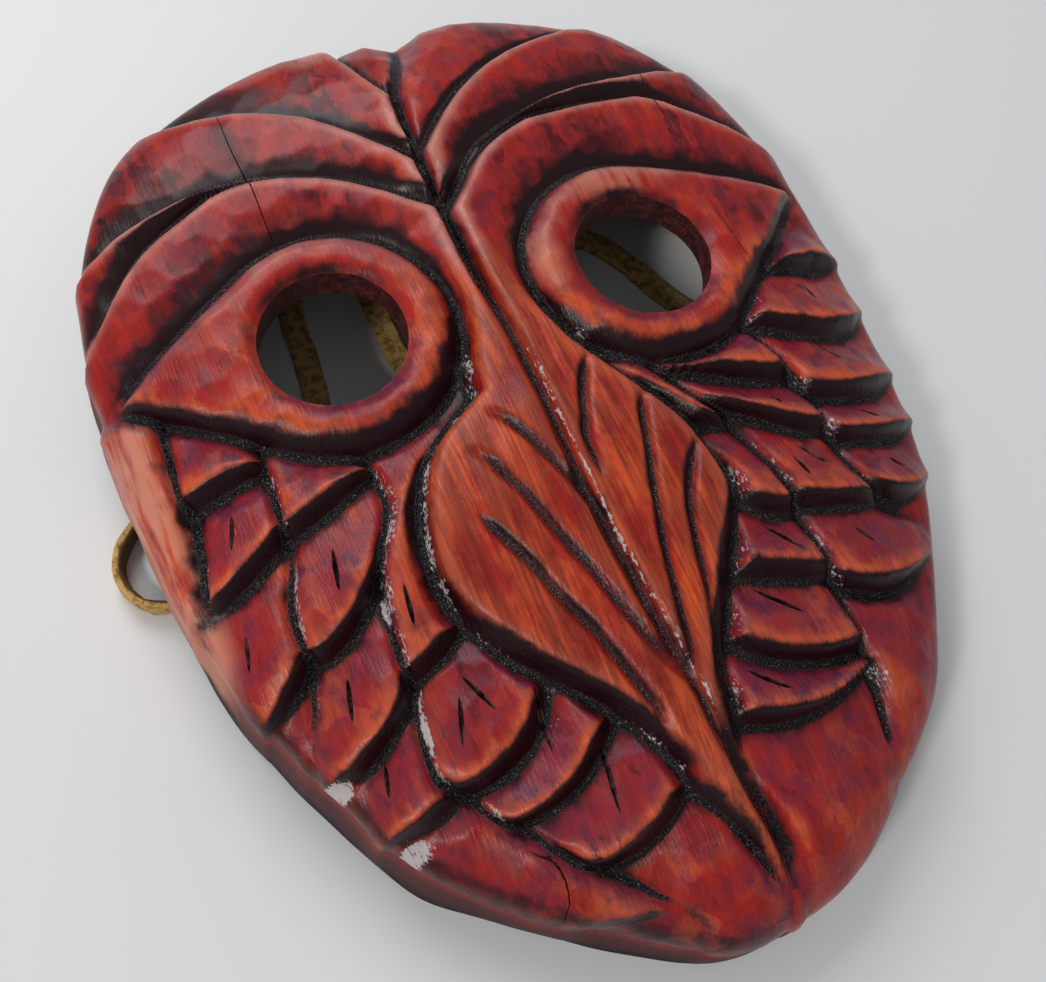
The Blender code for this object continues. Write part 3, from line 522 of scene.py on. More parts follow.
def cheek(x, y):
    """Depth of the columns of feathers below the eyes."""
    depth = np.zeros(x.shape)
    rim = np.interp(y, RIGHT_EDGE[:, 1], RIGHT_EDGE[:, 0])
    left = [across(line, y) for line in LEFT_LINES]
    right = [across(line, y) for line in RIGHT_LINES] + [rim + 4]
    for lines, columns in ((left, LEFT_TIPS), (right, RIGHT_TIPS)):
        for a, b, tips in zip(lines, lines[1:], columns):
            lapped, inside = feather_column(x, y, a, b, tips)
            depth = np.where(inside >= 0, lapped, depth)
    for line in LEFT_LINES[:3] + [RIGHT_LINES[1], RIGHT_LINES[2][RIGHT_LINES[2][:, 1] > QUILL_END]]:
        away = distance(line, x, y)
        depth = depth + cut(away, QUILL_DEPTH, QUILL_HALF_WIDTH) + np.clip(1 - away / 5, 0, 1) ** 2
    return depth + cut(distance(HOOK, x, y), QUILL_DEPTH, QUILL_HALF_WIDTH)


print("feathers:", sum(len(tips) - 1 for tips in LEFT_TIPS + RIGHT_TIPS), "in",
      len(LEFT_TIPS + RIGHT_TIPS), "columns")

# %% [markdown]
# The brow lobes lap the other way, from the top notch down to the eye, and all run out from
# the centre cut to the rim. A finish needs to know how far a place has fallen from its lobe's
# crest to the next cut, so the same function gives that too.

# %% Brows
def brow(x, y, lid, centre):
    """Depth of the lapped brow lobes, and each place's way from its crest to the cut below."""
    depth, fall = np.zeros(x.shape), np.full(x.shape, 0.4)
    left_side = x < across(CENTRE_LINE, y)
    for here, lines in ((left_side, LEFT_BROW_LINES), (~left_side, RIGHT_BROW_LINES)):
        edges = [along(line, x) for line in lines]
        gaps = [distance(line, x, y) for line in lines]
        lobe = shingle(np.full(x.shape, 60.0), np.minimum(gaps[-1], centre + 3), BROW_LIP,
                       0.7 * BROW_STEP, BROW_CREST)
        for k in range(len(lines) - 1, -1, -1):
            above = np.minimum(gaps[k], centre)
            below = gaps[k - 1] if k else np.maximum(lid, 0)
            lapped = shingle(above, below, BROW_LIP, BROW_STEP, BROW_CREST)
            lobe = np.where(y < edges[k], lapped, lobe)
            way = above / (above + np.minimum(below, 30) + 1e-6)
            fall = np.where(here & (y < edges[k]), way, fall)
        for gap in gaps:
            lobe = lobe + cut(gap, BROW_CUT_DEPTH, BROW_CUT_HALF_WIDTH)
        depth = np.where(here, lobe, depth)
    return depth, fall


print("brow lobes:", len(LEFT_BROWS), "left,", len(RIGHT_BROWS), "right")

# %% [markdown]
# The beak stands proud of the cheeks. It is bevelled at its sides, crowned across, and fades
# into the nose and into the chin, which profiles down its length give. The eye is a rounded
# ring round its hole, lower towards the almond's corner.

# %% Beak and eyes
NOSE_LEFT = ((-11.2, -4, 5, 17), (-20, -18.4, -15.6, -13.5))
NOSE_RIGHT = ((-5, 5, 14), (13, 10.2, 9))
BEVEL_PROFILE = ((-150, -72, -54, 0), (4.0, 7.0, 3.4, 4.0))
STEP_PROFILE = ((-158, -151, -140, -100, -10, 30), (0, 0.35, 0.6, 1.0, 1.0, 0.75))
RISE_PROFILE = ((-150, -110, -40, 0, 50), (0.1, 0.7, 1.0, 0.6, 0.0))
RIDGE_OFFSET, RIDGE_HALF_WIDTH = 3.2, 1.6


def beak(x, y):
    """Depth of the raised beak and nose, and how far a place lies inside them."""
    left = np.where(y > NOSE_LEFT[0][0], np.interp(y, *NOSE_LEFT), across(LEFT_LINES[3], y))
    right = np.where(y > NOSE_RIGHT[0][0], np.interp(y, *NOSE_RIGHT), across(RIGHT_LINES[0], y))
    inside = np.minimum(x - left, right - x)
    share = np.clip(inside / np.interp(y, *BEVEL_PROFILE), 0, 1)
    step = np.interp(y, *STEP_PROFILE) * BEAK_STEP
    rise = np.interp(y, *RISE_PROFILE) * BEAK_RISE
    crown = rise * (0.45 + 0.55 * np.clip(inside / 24, 0, 1))
    depth = step * (1 - share) - crown * share
    ridge = np.clip(1 - np.abs(x - across(CENTRE_LINE, y) - RIDGE_OFFSET) / RIDGE_HALF_WIDTH, 0, 1)
    depth = depth - RIDGE_RISE * ridge * (y < 0) * (y > -125)
    for line in BEAK_CUTS:
        depth = depth + tapered_cut(line, x, y, BEAK_CUT_DEPTH, BEAK_CUT_HALF_WIDTH)
    return depth, inside


def eye(which, x, y):
    """Depth inside an eye's almond: a rounded ring round the hole, lower towards the corner."""
    inside = -eye_edge(which, x, y)
    cx, cy = EYE_CENTRES[which]
    drop = EYE_DROP * ease((cy - y) / 20)
    edge = (EYE_STEP + drop) * np.clip(1 - inside / (EYE_ROUNDING + drop), 0, 1) ** 1.8
    from_hole = np.hypot(x - cx, y - cy) - HOLE_RADIUS
    return edge + HOLE_FALL * np.clip(1 - from_hole / HOLE_ROUNDING, 0, 1) ** 2


print("beak cuts:", len(BEAK_CUTS), "and eyes:", len(EYE_CENTRES))

# %% [markdown]
# The parts are joined, and the cuts that border them are laid over all. No cut may go deeper
# than the wood allows, least of all at the rim, where a deep cut would show in the outline,
# so the sum bends off softly towards a limit.

# %% The whole carving
def carving(x, y):
    """How deep the carved face lies under the uncarved dome, in millimetres."""
    lids = [eye_edge(k, x, y) for k in (0, 1)]
    lid = np.minimum(*lids)
    centre = distance(CENTRE_LINE, x, y)
    lobes, _ = brow(x, y, lid, centre)
    nose, inside = beak(x, y)
    nose = nose + (lobes - nose) * ease(y / 30)
    lid_height = np.where(x < 0, np.interp(x, *zip(EYE_CORNERS[0], EYE_CENTRES[0])),
                          np.interp(x, *zip(EYE_CENTRES[1], EYE_CORNERS[1])))
    depth = np.where(y > lid_height, lobes, cheek(x, y))
    depth = np.maximum(depth, BEAK_STEP * np.clip(1 + inside / 5, 0, 1) * ease((y + 158) / 18) * (y < 20))
    depth = np.where((inside > 0) & (y < 30), nose, depth)
    depth = depth + np.maximum(EYE_STEP - depth, 0) * np.clip(1 - lid / 4, 0, 1) ** 1.3
    for k in (0, 1):
        depth = np.where(lids[k] < 0, eye(k, x, y), depth)
    depth = depth + cut(np.abs(lid), LID_CUT_DEPTH, LID_CUT_HALF_WIDTH)
    depth = depth + cut(centre, CENTRE_DEPTH, CENTRE_HALF_WIDTH)
    depth = depth + cut(centre, TOP_NOTCH_DEPTH, TOP_NOTCH_HALF_WIDTH) * ease((y - 98) / 22)
    at_rim = np.interp(x, *DEEPEST_AT_RIM) * np.interp(y, (-158, -128), (0.35, 1))
    limit = at_rim + (DEEPEST - at_rim) * ease((1 - outline_share(x, y)) / 0.14)
    return np.where(depth > 0, limit * np.tanh(depth / limit), depth)


spots = np.array(((0.0, -20.0), (-46.5, 60.0), (60.0, -60.0)))
print("depth on beak, brow and cheek:", carving(spots[:, 0], spots[:, 1]).round(2), "mm")

# %% [markdown]
# A gouge leaves shallow scoops that meet in soft ridges. Those ridges catch the light on the
# real brows. Scoops are cells round scattered centres: each place is as high as it is far
# from the nearest centre. On the beak the knife ran with the grain, so the scoops are long.

# %% Tool marks
SCOOP_SIZE = (9.0, 8.0)
BEAK_SCOOP_SIZE = (4.5, 26.0)
SCOOP_DEPTH = 0.58
SCOOP_CELLS = 96


def scoops(x, y, size, seed):
    """0 in the middle of each scoop, rising to about 1 on the ridges between scoops."""
    draw = np.random.default_rng(seed)
    jitter = draw.random((SCOOP_CELLS, SCOOP_CELLS, 2)) * 0.8 + 0.1
    gx, gy = x / size[0] + 40, y / size[1] + 40
    i, j = np.floor(gx).astype(int), np.floor(gy).astype(int)
    closest = np.full(x.shape, 9.0)
    for di in (-1, 0, 1):
        for dj in (-1, 0, 1):
            spot = jitter[(i + di) % SCOOP_CELLS, (j + dj) % SCOOP_CELLS]
            away = (gx - i - di - spot[..., 0]) ** 2 + (gy - j - dj - spot[..., 1]) ** 2
            closest = np.minimum(closest, away)
    return np.clip(closest / 0.6, 0, 1.4)


def tool_marks(x, y):
    """Depth of the gouge's scoops at each place."""
    inside = beak(x, y)[1]
    on_beak = ease(inside / 3) * (y < 15)
    short = scoops(x + 0.35 * y, y - 0.2 * x, SCOOP_SIZE, 3)
    long = scoops(x, y, BEAK_SCOOP_SIZE, 4)
    deep = 1 - 0.35 * ease((y - 15) / 15)
    return SCOOP_DEPTH * ((1 - on_beak) * deep * (1 - short) + 0.4 * on_beak * (1 - long))


print("marks on the brow, beak and cheek:", tool_marks(spots[:, 0], spots[:, 1]).round(2), "mm")

# %% [markdown]
# The carving is worked out once, on an even grid finer than the mesh, and rounded a little as
# a worn edge is. From then on, anything that needs the carved height reads it off this grid.

# %% The carving on an even grid
READ_PITCH = 0.5
ROUNDING = 0.5
read_x = np.arange(-113, 113.01, READ_PITCH)
read_y = np.arange(-163, 129.01, READ_PITCH)
grid_x, grid_y = np.meshgrid(read_x, read_y)


def blurred(values, width):
    """The grid's values smoothed over a width in millimetres."""
    sigma = width / READ_PITCH
    reach = int(3 * sigma) + 1
    weight = np.exp(-0.5 * (np.arange(-reach, reach + 1) / sigma) ** 2)
    weight /= weight.sum()
    for axis in (0, 1):
        padded = np.pad(values, [(reach, reach) if a == axis else (0, 0) for a in (0, 1)], mode="edge")
        count = values.shape[axis]
        values = sum(w * np.take(padded, np.arange(k, k + count), axis) for k, w in enumerate(weight))
    return values


def read_at(values, x, y):
    """The grid's values at any places."""
    i = np.clip((x - read_x[0]) / READ_PITCH, 0, len(read_x) - 1.001)
    j = np.clip((y - read_y[0]) / READ_PITCH, 0, len(read_y) - 1.001)
    i0, j0 = i.astype(int), j.astype(int)
    fi, fj = i - i0, j - j0
    low = values[j0, i0] * (1 - fi) + values[j0, i0 + 1] * fi
    high = values[j0 + 1, i0] * (1 - fi) + values[j0 + 1, i0 + 1] * fi
    return low * (1 - fj) + high * fj


inside_rim = ease((1 - outline_share(grid_x, grid_y)) / 0.03)
depth_grid = blurred(carving(grid_x, grid_y), ROUNDING) + tool_marks(grid_x, grid_y) * inside_rim


def carved(x, y):
    """Points of the carved face, in drawn millimetres."""
    depth = read_at(depth_grid, x, y)
    return np.stack([x, y, dome(x, y)], -1) - depth[..., None] * dome_normal(x, y)


print("carving depth", round(float(depth_grid.min()), 2), "to", round(float(depth_grid.max()), 2), "mm")

# %% [markdown]
# The face starts as a grid of squares, which is pulled out to the oval outline and then
# pressed down to the carved height. Its open edge is extruded downwards for the side wall,
# as the saw and rasp left it, and closed underneath. The hollow is cut out afterwards.

# %% The carved block
GRID_X, GRID_Y = 240, 300


def square_to_outline(u, v, share=1.0):
    """Places of a square grid, from -1 to 1, spread over the oval."""
    x = u * HALF_WIDTH
    y = v * np.where(v > 0, FOREHEAD, CHIN) + MIDLINE_Y
    reach = np.maximum(np.maximum(np.abs(u), np.abs(v)), 1e-9)
    ratio = share * reach / np.maximum(outline_share(x, y), 1e-9)
    return x * ratio, (y - MIDLINE_Y) * ratio + MIDLINE_Y


def points_of(piece):
    """The mesh's points as an array."""
    flat = np.empty(len(piece.data.vertices) * 3)
    piece.data.vertices.foreach_get("co", flat)
    return flat.reshape(-1, 3)


def set_points(piece, points):
    """Moves the mesh's points to an array's places."""
    piece.data.vertices.foreach_set("co", points.ravel())
    piece.data.update()


def start_grid(name, nx, ny):
    """A flat grid, and its points' places from -1 to 1."""
    bpy.ops.mesh.primitive_grid_add(x_subdivisions=nx, y_subdivisions=ny, size=2)
    piece = bpy.context.object
    piece.name = name
    select_only(piece)
    return piece, points_of(piece)[:, :2]


def grow_edge(piece):
    """Extrudes the open edge in place and gives the new ring's point numbers."""
    bpy.ops.object.mode_set(mode="EDIT")
    bpy.ops.mesh.select_mode(type="EDGE")
    bpy.ops.mesh.select_all(action="DESELECT")
    bpy.ops.mesh.select_non_manifold(extend=False, use_wire=False, use_multi_face=False,
                                     use_non_contiguous=False, use_verts=False)
    bpy.ops.mesh.extrude_edges_move()
    bpy.ops.mesh.select_mode(type="VERT")
    bpy.ops.object.mode_set(mode="OBJECT")
    chosen = np.empty(len(piece.data.vertices), bool)
    piece.data.vertices.foreach_get("select", chosen)
    return np.flatnonzero(chosen)


def read_values(piece, name):
    """An attribute's value on every point."""
    values = np.empty(len(piece.data.attributes[name].data))
    piece.data.attributes[name].data.foreach_get("value", values)
    return values


def add_values(piece, name, values):
    """Keeps a value on every point, as an attribute that a material can read."""
    piece.data.attributes.new(name, "FLOAT", "POINT").data.foreach_set("value", np.asarray(values, float))


def close_edge(piece):
    """Closes the open edge with a fan to its middle."""
    ring = grow_edge(piece)
    points = points_of(piece)
    points[ring] = points[ring].mean(axis=0)
    set_points(piece, points)
    bpy.ops.object.mode_set(mode="EDIT")
    bpy.ops.mesh.remove_doubles(threshold=1e-7)
    bpy.ops.object.mode_set(mode="OBJECT")
    face_outwards(piece)


wooden_mask, square = start_grid("wooden_mask", GRID_X, GRID_Y)
plan_x, plan_y = square_to_outline(square[:, 0], square[:, 1])
set_points(wooden_mask, placed(carved(plan_x, plan_y)))
add_values(wooden_mask, "plan_x", plan_x)
add_values(wooden_mask, "plan_y", plan_y)
face_count = len(wooden_mask.data.polygons)
print("face grid:", face_count, "quads")

# %% [markdown]
# The side was sawn and rasped, so it is nearly flat, with low facets, and swells a little at
# mid height. It is made ring by ring: the open edge is extruded in place, and the new ring is
# then moved to its level. The last ring lies under the block, and a fan closes it.

# %% The side wall
WALL_RINGS = ((0.86, 0.0), (0.70, 0.5), (0.52, 0.9), (0.34, 1.0), (0.17, 0.9), (0.05, 0.4), (0.0, -0.6))
WALL_SWELL = 0.4
SAW_WAVE = 0.5
FOOT_SHARE = 0.8


def wall_point(x, y, level, swell):
    """A point of the side wall, at a share of its height, hand-rasped in flat facets."""
    top = carved(x, y)
    foot = rim_arch(y)
    share = level**0.45
    out = np.hypot(x, y - MIDLINE_Y)
    facet = np.sin(np.arctan2(y, x) * 23 + level * 2) * 0.35 + np.sin(np.arctan2(y, x) * 41 + 1) * 0.2
    reach = 1 + (swell + facet * (level < 0.8) * SAW_WAVE) / out
    wx = (x + (top[:, 0] - x) * share) * reach
    wy = (y + (top[:, 1] - y) * share - MIDLINE_Y) * reach + MIDLINE_Y
    return np.stack([wx, wy, foot + (top[:, 2] - foot) * level], -1)


def foot_point(x, y):
    """A point of the underside, inside the wall's foot."""
    return np.stack([x * FOOT_SHARE, (y - MIDLINE_Y) * FOOT_SHARE + MIDLINE_Y, rim_arch(y)], -1)


def add_ring(piece, ring_point):
    """Extrudes the open edge, and moves each new point to where its place on the plan puts it."""
    ring = grow_edge(piece)
    points = points_of(piece)
    points[ring] = placed(ring_point(read_values(piece, "plan_x")[ring], read_values(piece, "plan_y")[ring]))
    set_points(piece, points)


for level, swell in WALL_RINGS:
    add_ring(wooden_mask, lambda x, y: wall_point(x, y, level, swell * WALL_SWELL))
add_ring(wooden_mask, foot_point)
close_edge(wooden_mask)
print("block:", len(wooden_mask.data.polygons), "faces")

# %% [markdown]
# The back is hollowed with a big gouge, and the eyes are bored straight through. Both are cut
# with Boolean modifiers from closed cutters, which keep crisp edges and carry their own
# material into the cut, so that the bores and the hollow can be darker than the face.

# %% The hollow, the eye holes and the lace's sockets
HOLLOW_X, HOLLOW_Y = 72, 90
GOUGE_SIZE = (12.0, 18.0)
GOUGE_DEPTH = 0.8
CUTTER_REACH = 6.0
EYE_SIDES, SOCKET_SIDES = 96, 24
EYE_CUTTER_HEIGHT = 80.0
SOCKET_RADIUS = 3.1
SOCKET_PLACE = 36.0
SOCKET_DEPTH = 4.5


def plain_material(name):
    """A new material with its shader."""
    made = bpy.data.materials.new(name)
    made.use_nodes = True
    return made


FACE_WOOD = plain_material("stained_face")
WALL_WOOD = plain_material("rasped_side")
HOLLOW_WOOD = plain_material("gouged_hollow")
BORE_WOOD = plain_material("eye_bore")
CUT_WOOD = plain_material("knife_cut")
SUEDE = plain_material("suede")


def cut_away(piece, cutter, wood):
    """Cuts the cutter out of the piece and lines the cut with a wood."""
    cutter.data.materials.append(wood)
    select_only(piece)
    removal = piece.modifiers.new(cutter.name, "BOOLEAN")
    removal.operation = "DIFFERENCE"
    removal.solver = "EXACT"
    removal.material_mode = "TRANSFER"
    removal.object = cutter
    bpy.ops.object.modifier_apply(modifier=removal.name)
    bpy.data.objects.remove(cutter, do_unlink=True)


def bore(name, sides, radius, depth, place, lean, wood):
    """Bores a round hole through a place, in millimetres, that leans over from upright."""
    bpy.ops.mesh.primitive_cylinder_add(vertices=sides, radius=radius * MM, depth=depth * MM,
                                        location=[v * MM for v in place], rotation=(0, lean, 0))
    cutter = bpy.context.object
    cutter.name = name
    cut_away(wooden_mask, cutter, wood)


for wood in (FACE_WOOD, WALL_WOOD):
    wooden_mask.data.materials.append(wood)
wood_numbers = np.zeros(len(wooden_mask.data.polygons), int)
wood_numbers[face_count:] = 1
wooden_mask.data.polygons.foreach_set("material_index", wood_numbers)

hollow, square = start_grid("hollow_cutter", HOLLOW_X, HOLLOW_Y)
hollow_x, hollow_y = square_to_outline(square[:, 0], square[:, 1], INNER_SHARE)
fade = ease((1 - outline_share(hollow_x, hollow_y) / INNER_SHARE) / 0.05)
roof = hollow_height(hollow_x, hollow_y)
roof = roof + GOUGE_DEPTH * fade * (1 - scoops(hollow_x, hollow_y, GOUGE_SIZE, 7))
set_points(hollow, placed(np.stack([hollow_x, hollow_y, roof], -1)))
ring = grow_edge(hollow)
hollow_points = points_of(hollow)
hollow_points[ring, 2] = -CUTTER_REACH * MM
set_points(hollow, hollow_points)
close_edge(hollow)
cut_away(wooden_mask, hollow, HOLLOW_WOOD)
for eye_x, eye_y in EYE_CENTRES:
    bore("eye_cutter", EYE_SIDES, HOLE_RADIUS, EYE_CUTTER_HEIGHT,
         (eye_x, eye_y + CENTRING_Y, EYE_CUTTER_HEIGHT / 2), 0, BORE_WOOD)
inner_edge = float(np.interp(SOCKET_PLACE, RIGHT_EDGE[:, 1], RIGHT_EDGE[:, 0])) * STRETCH_X * INNER_SHARE
for side in (-1, 1):
    bore("socket_cutter", SOCKET_SIDES, SOCKET_RADIUS, 2 * SOCKET_DEPTH,
         (side * inner_edge, SOCKET_PLACE + CENTRING_Y, SOCKET_HEIGHT), pi / 2, HOLLOW_WOOD)
print("cut block:", len(wooden_mask.data.polygons), "faces")

# %% [markdown]
# The carver finished with short stabs of the knife across the feathers, and the dry wood has
# split in a few hair cracks. Each is a thin canoe-shaped wedge laid on the surface, and all
# of them are cut out at once. Real cuts catch a line of light on their edge, as paint cannot.

# %% Knife stabs and cracks
STAB_WIDTH, STAB_DEPTH = 1.8, 2.0
CRACK_WIDTH, CRACK_DEPTH = 0.55, 1.6
LONGEST_STROKE = 2.5
STABS = (
    ((-86.3, -16.8), (-88.8, -26.4)), ((-66.7, -35), (-68.8, -47)), ((-93.6, -45.7), (-94.9, -55)),
    ((-54.2, -50.7), (-55.7, -62)), ((-74.9, -65.6), (-77, -76.3)), ((-52, -79.9), (-55.7, -91.7)),
    ((-50, -75.6), (-45.3, -87)), ((-74.6, -87.7), (-75.6, -94.9)), ((-35, -84.6), (-37, -101)),
    ((-25.7, -104.2), (-27.8, -119.7)), ((87.2, -6.4), (87.2, -12.1)), ((80.8, -25), (85, -32)),
    ((82.2, -47), (86.1, -50.7)), ((84.3, -62), (87.2, -66.3)), ((56.5, -36.4), (57.2, -40)),
    ((57.9, -52), (61.9, -59.2)), ((53.6, -54.2), (54.7, -61.3)), ((62.2, -77), (64.7, -82.7)),
    ((36.5, -67.8), (43, -78.5)), ((26.5, -82.7), (36.5, -93.4)), ((15.6, -100.6), (24, -109)),
)
CRACKS = (
    ((-50.2, 103), (-50.8, 88), (-50.2, 72), (-50.6, 56), (-50.4, 46)),
    ((74.2, 89.2), (73.8, 78), (73.8, 70.8), (71.7, 64.2), (73, 54), (73, 42)),
    ((68.3, 25.8), (69.2, 14), (70.8, 1.7)),
    ((-50, -118.7), (-44.8, -124.9), (-44.8, -132.1), (-48.4, -136.2)),
)


def wedge(line, width, depth):
    """A closed canoe-shaped wedge along a line on the drawing."""
    length = float(np.linalg.norm(np.diff(np.array(line, float), axis=0), axis=1).sum())
    route = spline(line, min(length / 7, LONGEST_STROKE))
    top = carved(route[:, 0], route[:, 1])
    normal = dome_normal(route[:, 0], route[:, 1])
    ahead = np.gradient(top, axis=0)
    beside = np.cross(ahead, normal)
    beside /= np.linalg.norm(beside, axis=1, keepdims=True)
    t = np.linspace(0, 1, len(route))
    full = (np.sqrt(np.maximum(1 - (2 * t - 1) ** 2, 0)) + 0.04)[:, None]
    rings = np.stack([top + beside * width * full + normal * 0.9, top + normal * 2.5,
                      top - beside * width * full + normal * 0.9, top - normal * depth * full], 1)
    count = len(route)
    points = rings.reshape(-1, 3)
    faces = [(4 * r + k, 4 * r + (k + 1) % 4, 4 * r + 4 + (k + 1) % 4, 4 * r + 4 + k)
             for r in range(count - 1) for k in range(4)]
    faces += [(3, 2, 1, 0), tuple(4 * count - 4 + k for k in range(4))]
    return points, faces


def wedges(shapes):
    """All the wedges as one cutter."""
    points, faces, start = [], [], 0
    for line, width, depth in shapes:
        more, more_faces = wedge(line, width, depth)
        points.append(more)
        faces += [tuple(i + start for i in face) for face in more_faces]
        start += len(more)
    cutter = mesh_piece("knife_cutter", placed(np.vstack(points)), faces)
    face_outwards(cutter)
    return cutter


knife = wedges([(line, STAB_WIDTH / 2, STAB_DEPTH) for line in STABS]
               + [(line, CRACK_WIDTH / 2, CRACK_DEPTH) for line in CRACKS])
cut_away(wooden_mask, knife, CUT_WOOD)
print("after", len(STABS), "stabs and", len(CRACKS), "cracks:", len(wooden_mask.data.polygons), "faces")

# %% [markdown]
# Stain pools in the cuts, and the ridges are paler, partly rubbed and partly painted highlight,
# so the colour follows the shape. Facets turned from the light get painted shade, and facets
# that face up the mask a painted reflection. The grid of the carving is smoothed, and compared
# with itself: a place lower than its surroundings is a cut, a higher one is a ridge. Its slopes
# tell which way a facet turns.

# %% Reading the carving
grid_height = -depth_grid
broad = blurred(grid_height, 3.2) - grid_height
sharp = blurred(grid_height, 0.9) - grid_height
toward_chin, sideways = np.gradient(grid_height, READ_PITCH)
# Painted shade on facets that face the chin, and on the falls just above each cut, where it is partly stain
# too.
shaded_side = np.clip((toward_chin - 0.10 * sideways - 0.15) / 0.8, 0, 1)
cut_grid = np.clip(1.45 * sharp + 0.10 * broad - 0.06, 0, 1)
near_cut = 1.5 * blurred(cut_grid, 2.2) * np.clip(0.15 + 2.4 * blurred(toward_chin, 1.0), 0, 1)
shade_grid = np.clip(0.85 * blurred(shaded_side, 0.7) + 0.30 * blurred(np.clip(broad, 0, 3), 0.8)
                     + near_cut, 0, 1)
# Facets that face up the mask, for a painted reflection of the light above.
upper_sheen_grid = np.clip(-2.4 * blurred(toward_chin, 0.9) - 0.15, 0, 1)
# Ridges, made paler and warmer below: partly wear, partly painted highlight.
ridge_grid = np.clip(-0.55 * broad - 0.05, 0, 1)
# Edges that face left, for painted glints.
left_side_grid = np.clip(1.5 * blurred(sideways - 0.4 * toward_chin, 0.5) - 0.45, 0, 1)
for title, values in (("broad", broad), ("sharp", sharp), ("shade", shade_grid), ("cut", cut_grid)):
    print(title, [round(float(np.percentile(values, q)), 2) for q in (2, 25, 50, 75, 90, 98)])

# %% [markdown]
# Every point of the mask now takes its values from the grid. Cutting has made new points,
# whose place on the plan may be lost, so a place that is far off is read from the mesh.

# %% Values on the mask's points
GONE_ASTRAY = 6
mask_points = points_of(wooden_mask) / MM
stand_x, stand_y = mask_points[:, 0] / STRETCH_X, mask_points[:, 1] - CENTRING_Y
drawn_x, drawn_y = read_values(wooden_mask, "plan_x"), read_values(wooden_mask, "plan_y")
astray = np.hypot(drawn_x - stand_x, drawn_y - stand_y) > GONE_ASTRAY
drawn_x, drawn_y = np.where(astray, stand_x, drawn_x), np.where(astray, stand_y, drawn_y)
below_edge = mask_points[:, 2] < side_height(drawn_y) - 4.8
on_face = (outline_share(drawn_x, drawn_y) < 0.999) | ~below_edge
inside_beak = beak(drawn_x, drawn_y)[1]
for name, values in (("cut_depth", cut_grid), ("upper_facet_sheen", upper_sheen_grid), ("ridge", ridge_grid)):
    add_values(wooden_mask, name, read_at(values, drawn_x, drawn_y) * on_face)
# Painted shade along the lower left rim, kept in the same shade values.
low_left_rim = (ease((outline_share(drawn_x, drawn_y) - 0.965) / 0.02) * ease((-drawn_y - 52) / 14)
                * ease((20 - drawn_x) / 30))
shade = np.maximum(read_at(shade_grid, drawn_x, drawn_y), 0.42 * low_left_rim)
add_values(wooden_mask, "shade", shade * on_face)
lid_edge = np.minimum(eye_edge(0, drawn_x, drawn_y), eye_edge(1, drawn_x, drawn_y))
brow_fall = brow(drawn_x, drawn_y, lid_edge, distance(CENTRE_LINE, drawn_x, drawn_y))[1]
on_brow = ease((drawn_y - 18) / 20) * ease(lid_edge / 2) * on_face
add_values(wooden_mask, "brow_fall", brow_fall * on_brow + 0.4 * (1 - on_brow))
add_values(wooden_mask, "on_brow", ease((drawn_y - 18) / 20) * on_face)
add_values(wooden_mask, "on_beak", ease(inside_beak / 4) * (drawn_y < 30) * on_face)
add_values(wooden_mask, "wall_height", np.clip(mask_points[:, 2] / side_height(drawn_y), 0, 1))
print("points on the face:", int(on_face.sum()), "of", len(on_face))

# %% [markdown]
# The varnish's glints are painted where a facet turns to the light, down the beak's centre,
# and in a few spots near the rim. The left rim, the right eye ring and the top of the brows
# have paler patches, partly painted highlight. These are places on the drawing, so they are
# kept as values too.

# %% Painted glints and pale patches
GLINT_OFFSET, GLINT_HALF_WIDTH = 1.9, 0.9
PALE_SPOTS = ((44, 39, 21, 8), (14, 22, 6, 14), (60, 118, 16, 9), (-14, 118, 14, 8))
GLINT_SPOTS = (
    (-87.5, -89, 6.6, 4.6), (-75, -109, 6.6, 4.4), (-62.5, -85, 1.6, 7.0), (-61, -56, 1.0, 6.0),
)


def from_spot(spot):
    """Each point's way from a spot's middle, 1 at its edge. A spot is x, y and two half sizes."""
    spot_x, spot_y, half_wide, half_long = spot
    return np.hypot((drawn_x - spot_x) / half_wide, (drawn_y - spot_y) / half_long)


# Painted glint down the right side of the beak's centre cut.
beside_centre = np.abs(drawn_x - across(CENTRE_LINE, drawn_y) - GLINT_OFFSET)
glint = 0.95 * np.clip(1.15 - beside_centre / GLINT_HALF_WIDTH, 0, 1) * (drawn_y < -4) * (drawn_y > -112)
# Painted glints in a few spots near the rim.
for spot in GLINT_SPOTS:
    glint = np.maximum(glint, 2.2 * (1 - from_spot(spot)))
on_cheek = ease((8 - drawn_y) / 10) * ease((drawn_y + 122) / 8) * (inside_beak < 2)
# Painted glints on edges that face left across the cheeks.
facing_left = read_at(left_side_grid, drawn_x, drawn_y)
glint = np.maximum(glint, (0.76 - 0.14 * ease(drawn_x / 40)) * facing_left * on_cheek)
add_values(wooden_mask, "glint", np.clip(glint, 0, 1.25) * on_face)
# Paler patches at the left rim, on the right eye ring and at the top of the brows: partly painted highlight
# where they turn to the light.
pale_patch = ease((-drawn_x - 95) / 7) * ease((22 - drawn_y) / 10) * ease((drawn_y + 62) / 14)
for spot in PALE_SPOTS:
    pale_patch = np.maximum(pale_patch, 0.55 * ease(1.2 - from_spot(spot)) * on_face)
add_values(wooden_mask, "pale_patch", pale_patch)
for name in ("plan_x", "plan_y"):
    wooden_mask.data.attributes.remove(wooden_mask.data.attributes[name])
select_only(wooden_mask)
bpy.ops.object.shade_smooth_by_angle(angle=radians(48))
print("mask triangles:", sum(len(f.vertices) - 2 for f in wooden_mask.data.polygons))
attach(wooden_mask, "root")
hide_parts("mask")

# %% [markdown]
# A material is a tree of nodes. A few short functions build its trees: one adds any node, and
# the others are arithmetic, mixing colours, reading a value kept on the points, and noise.
# Each takes plain values or another node's output, so that the trees below read as sums.

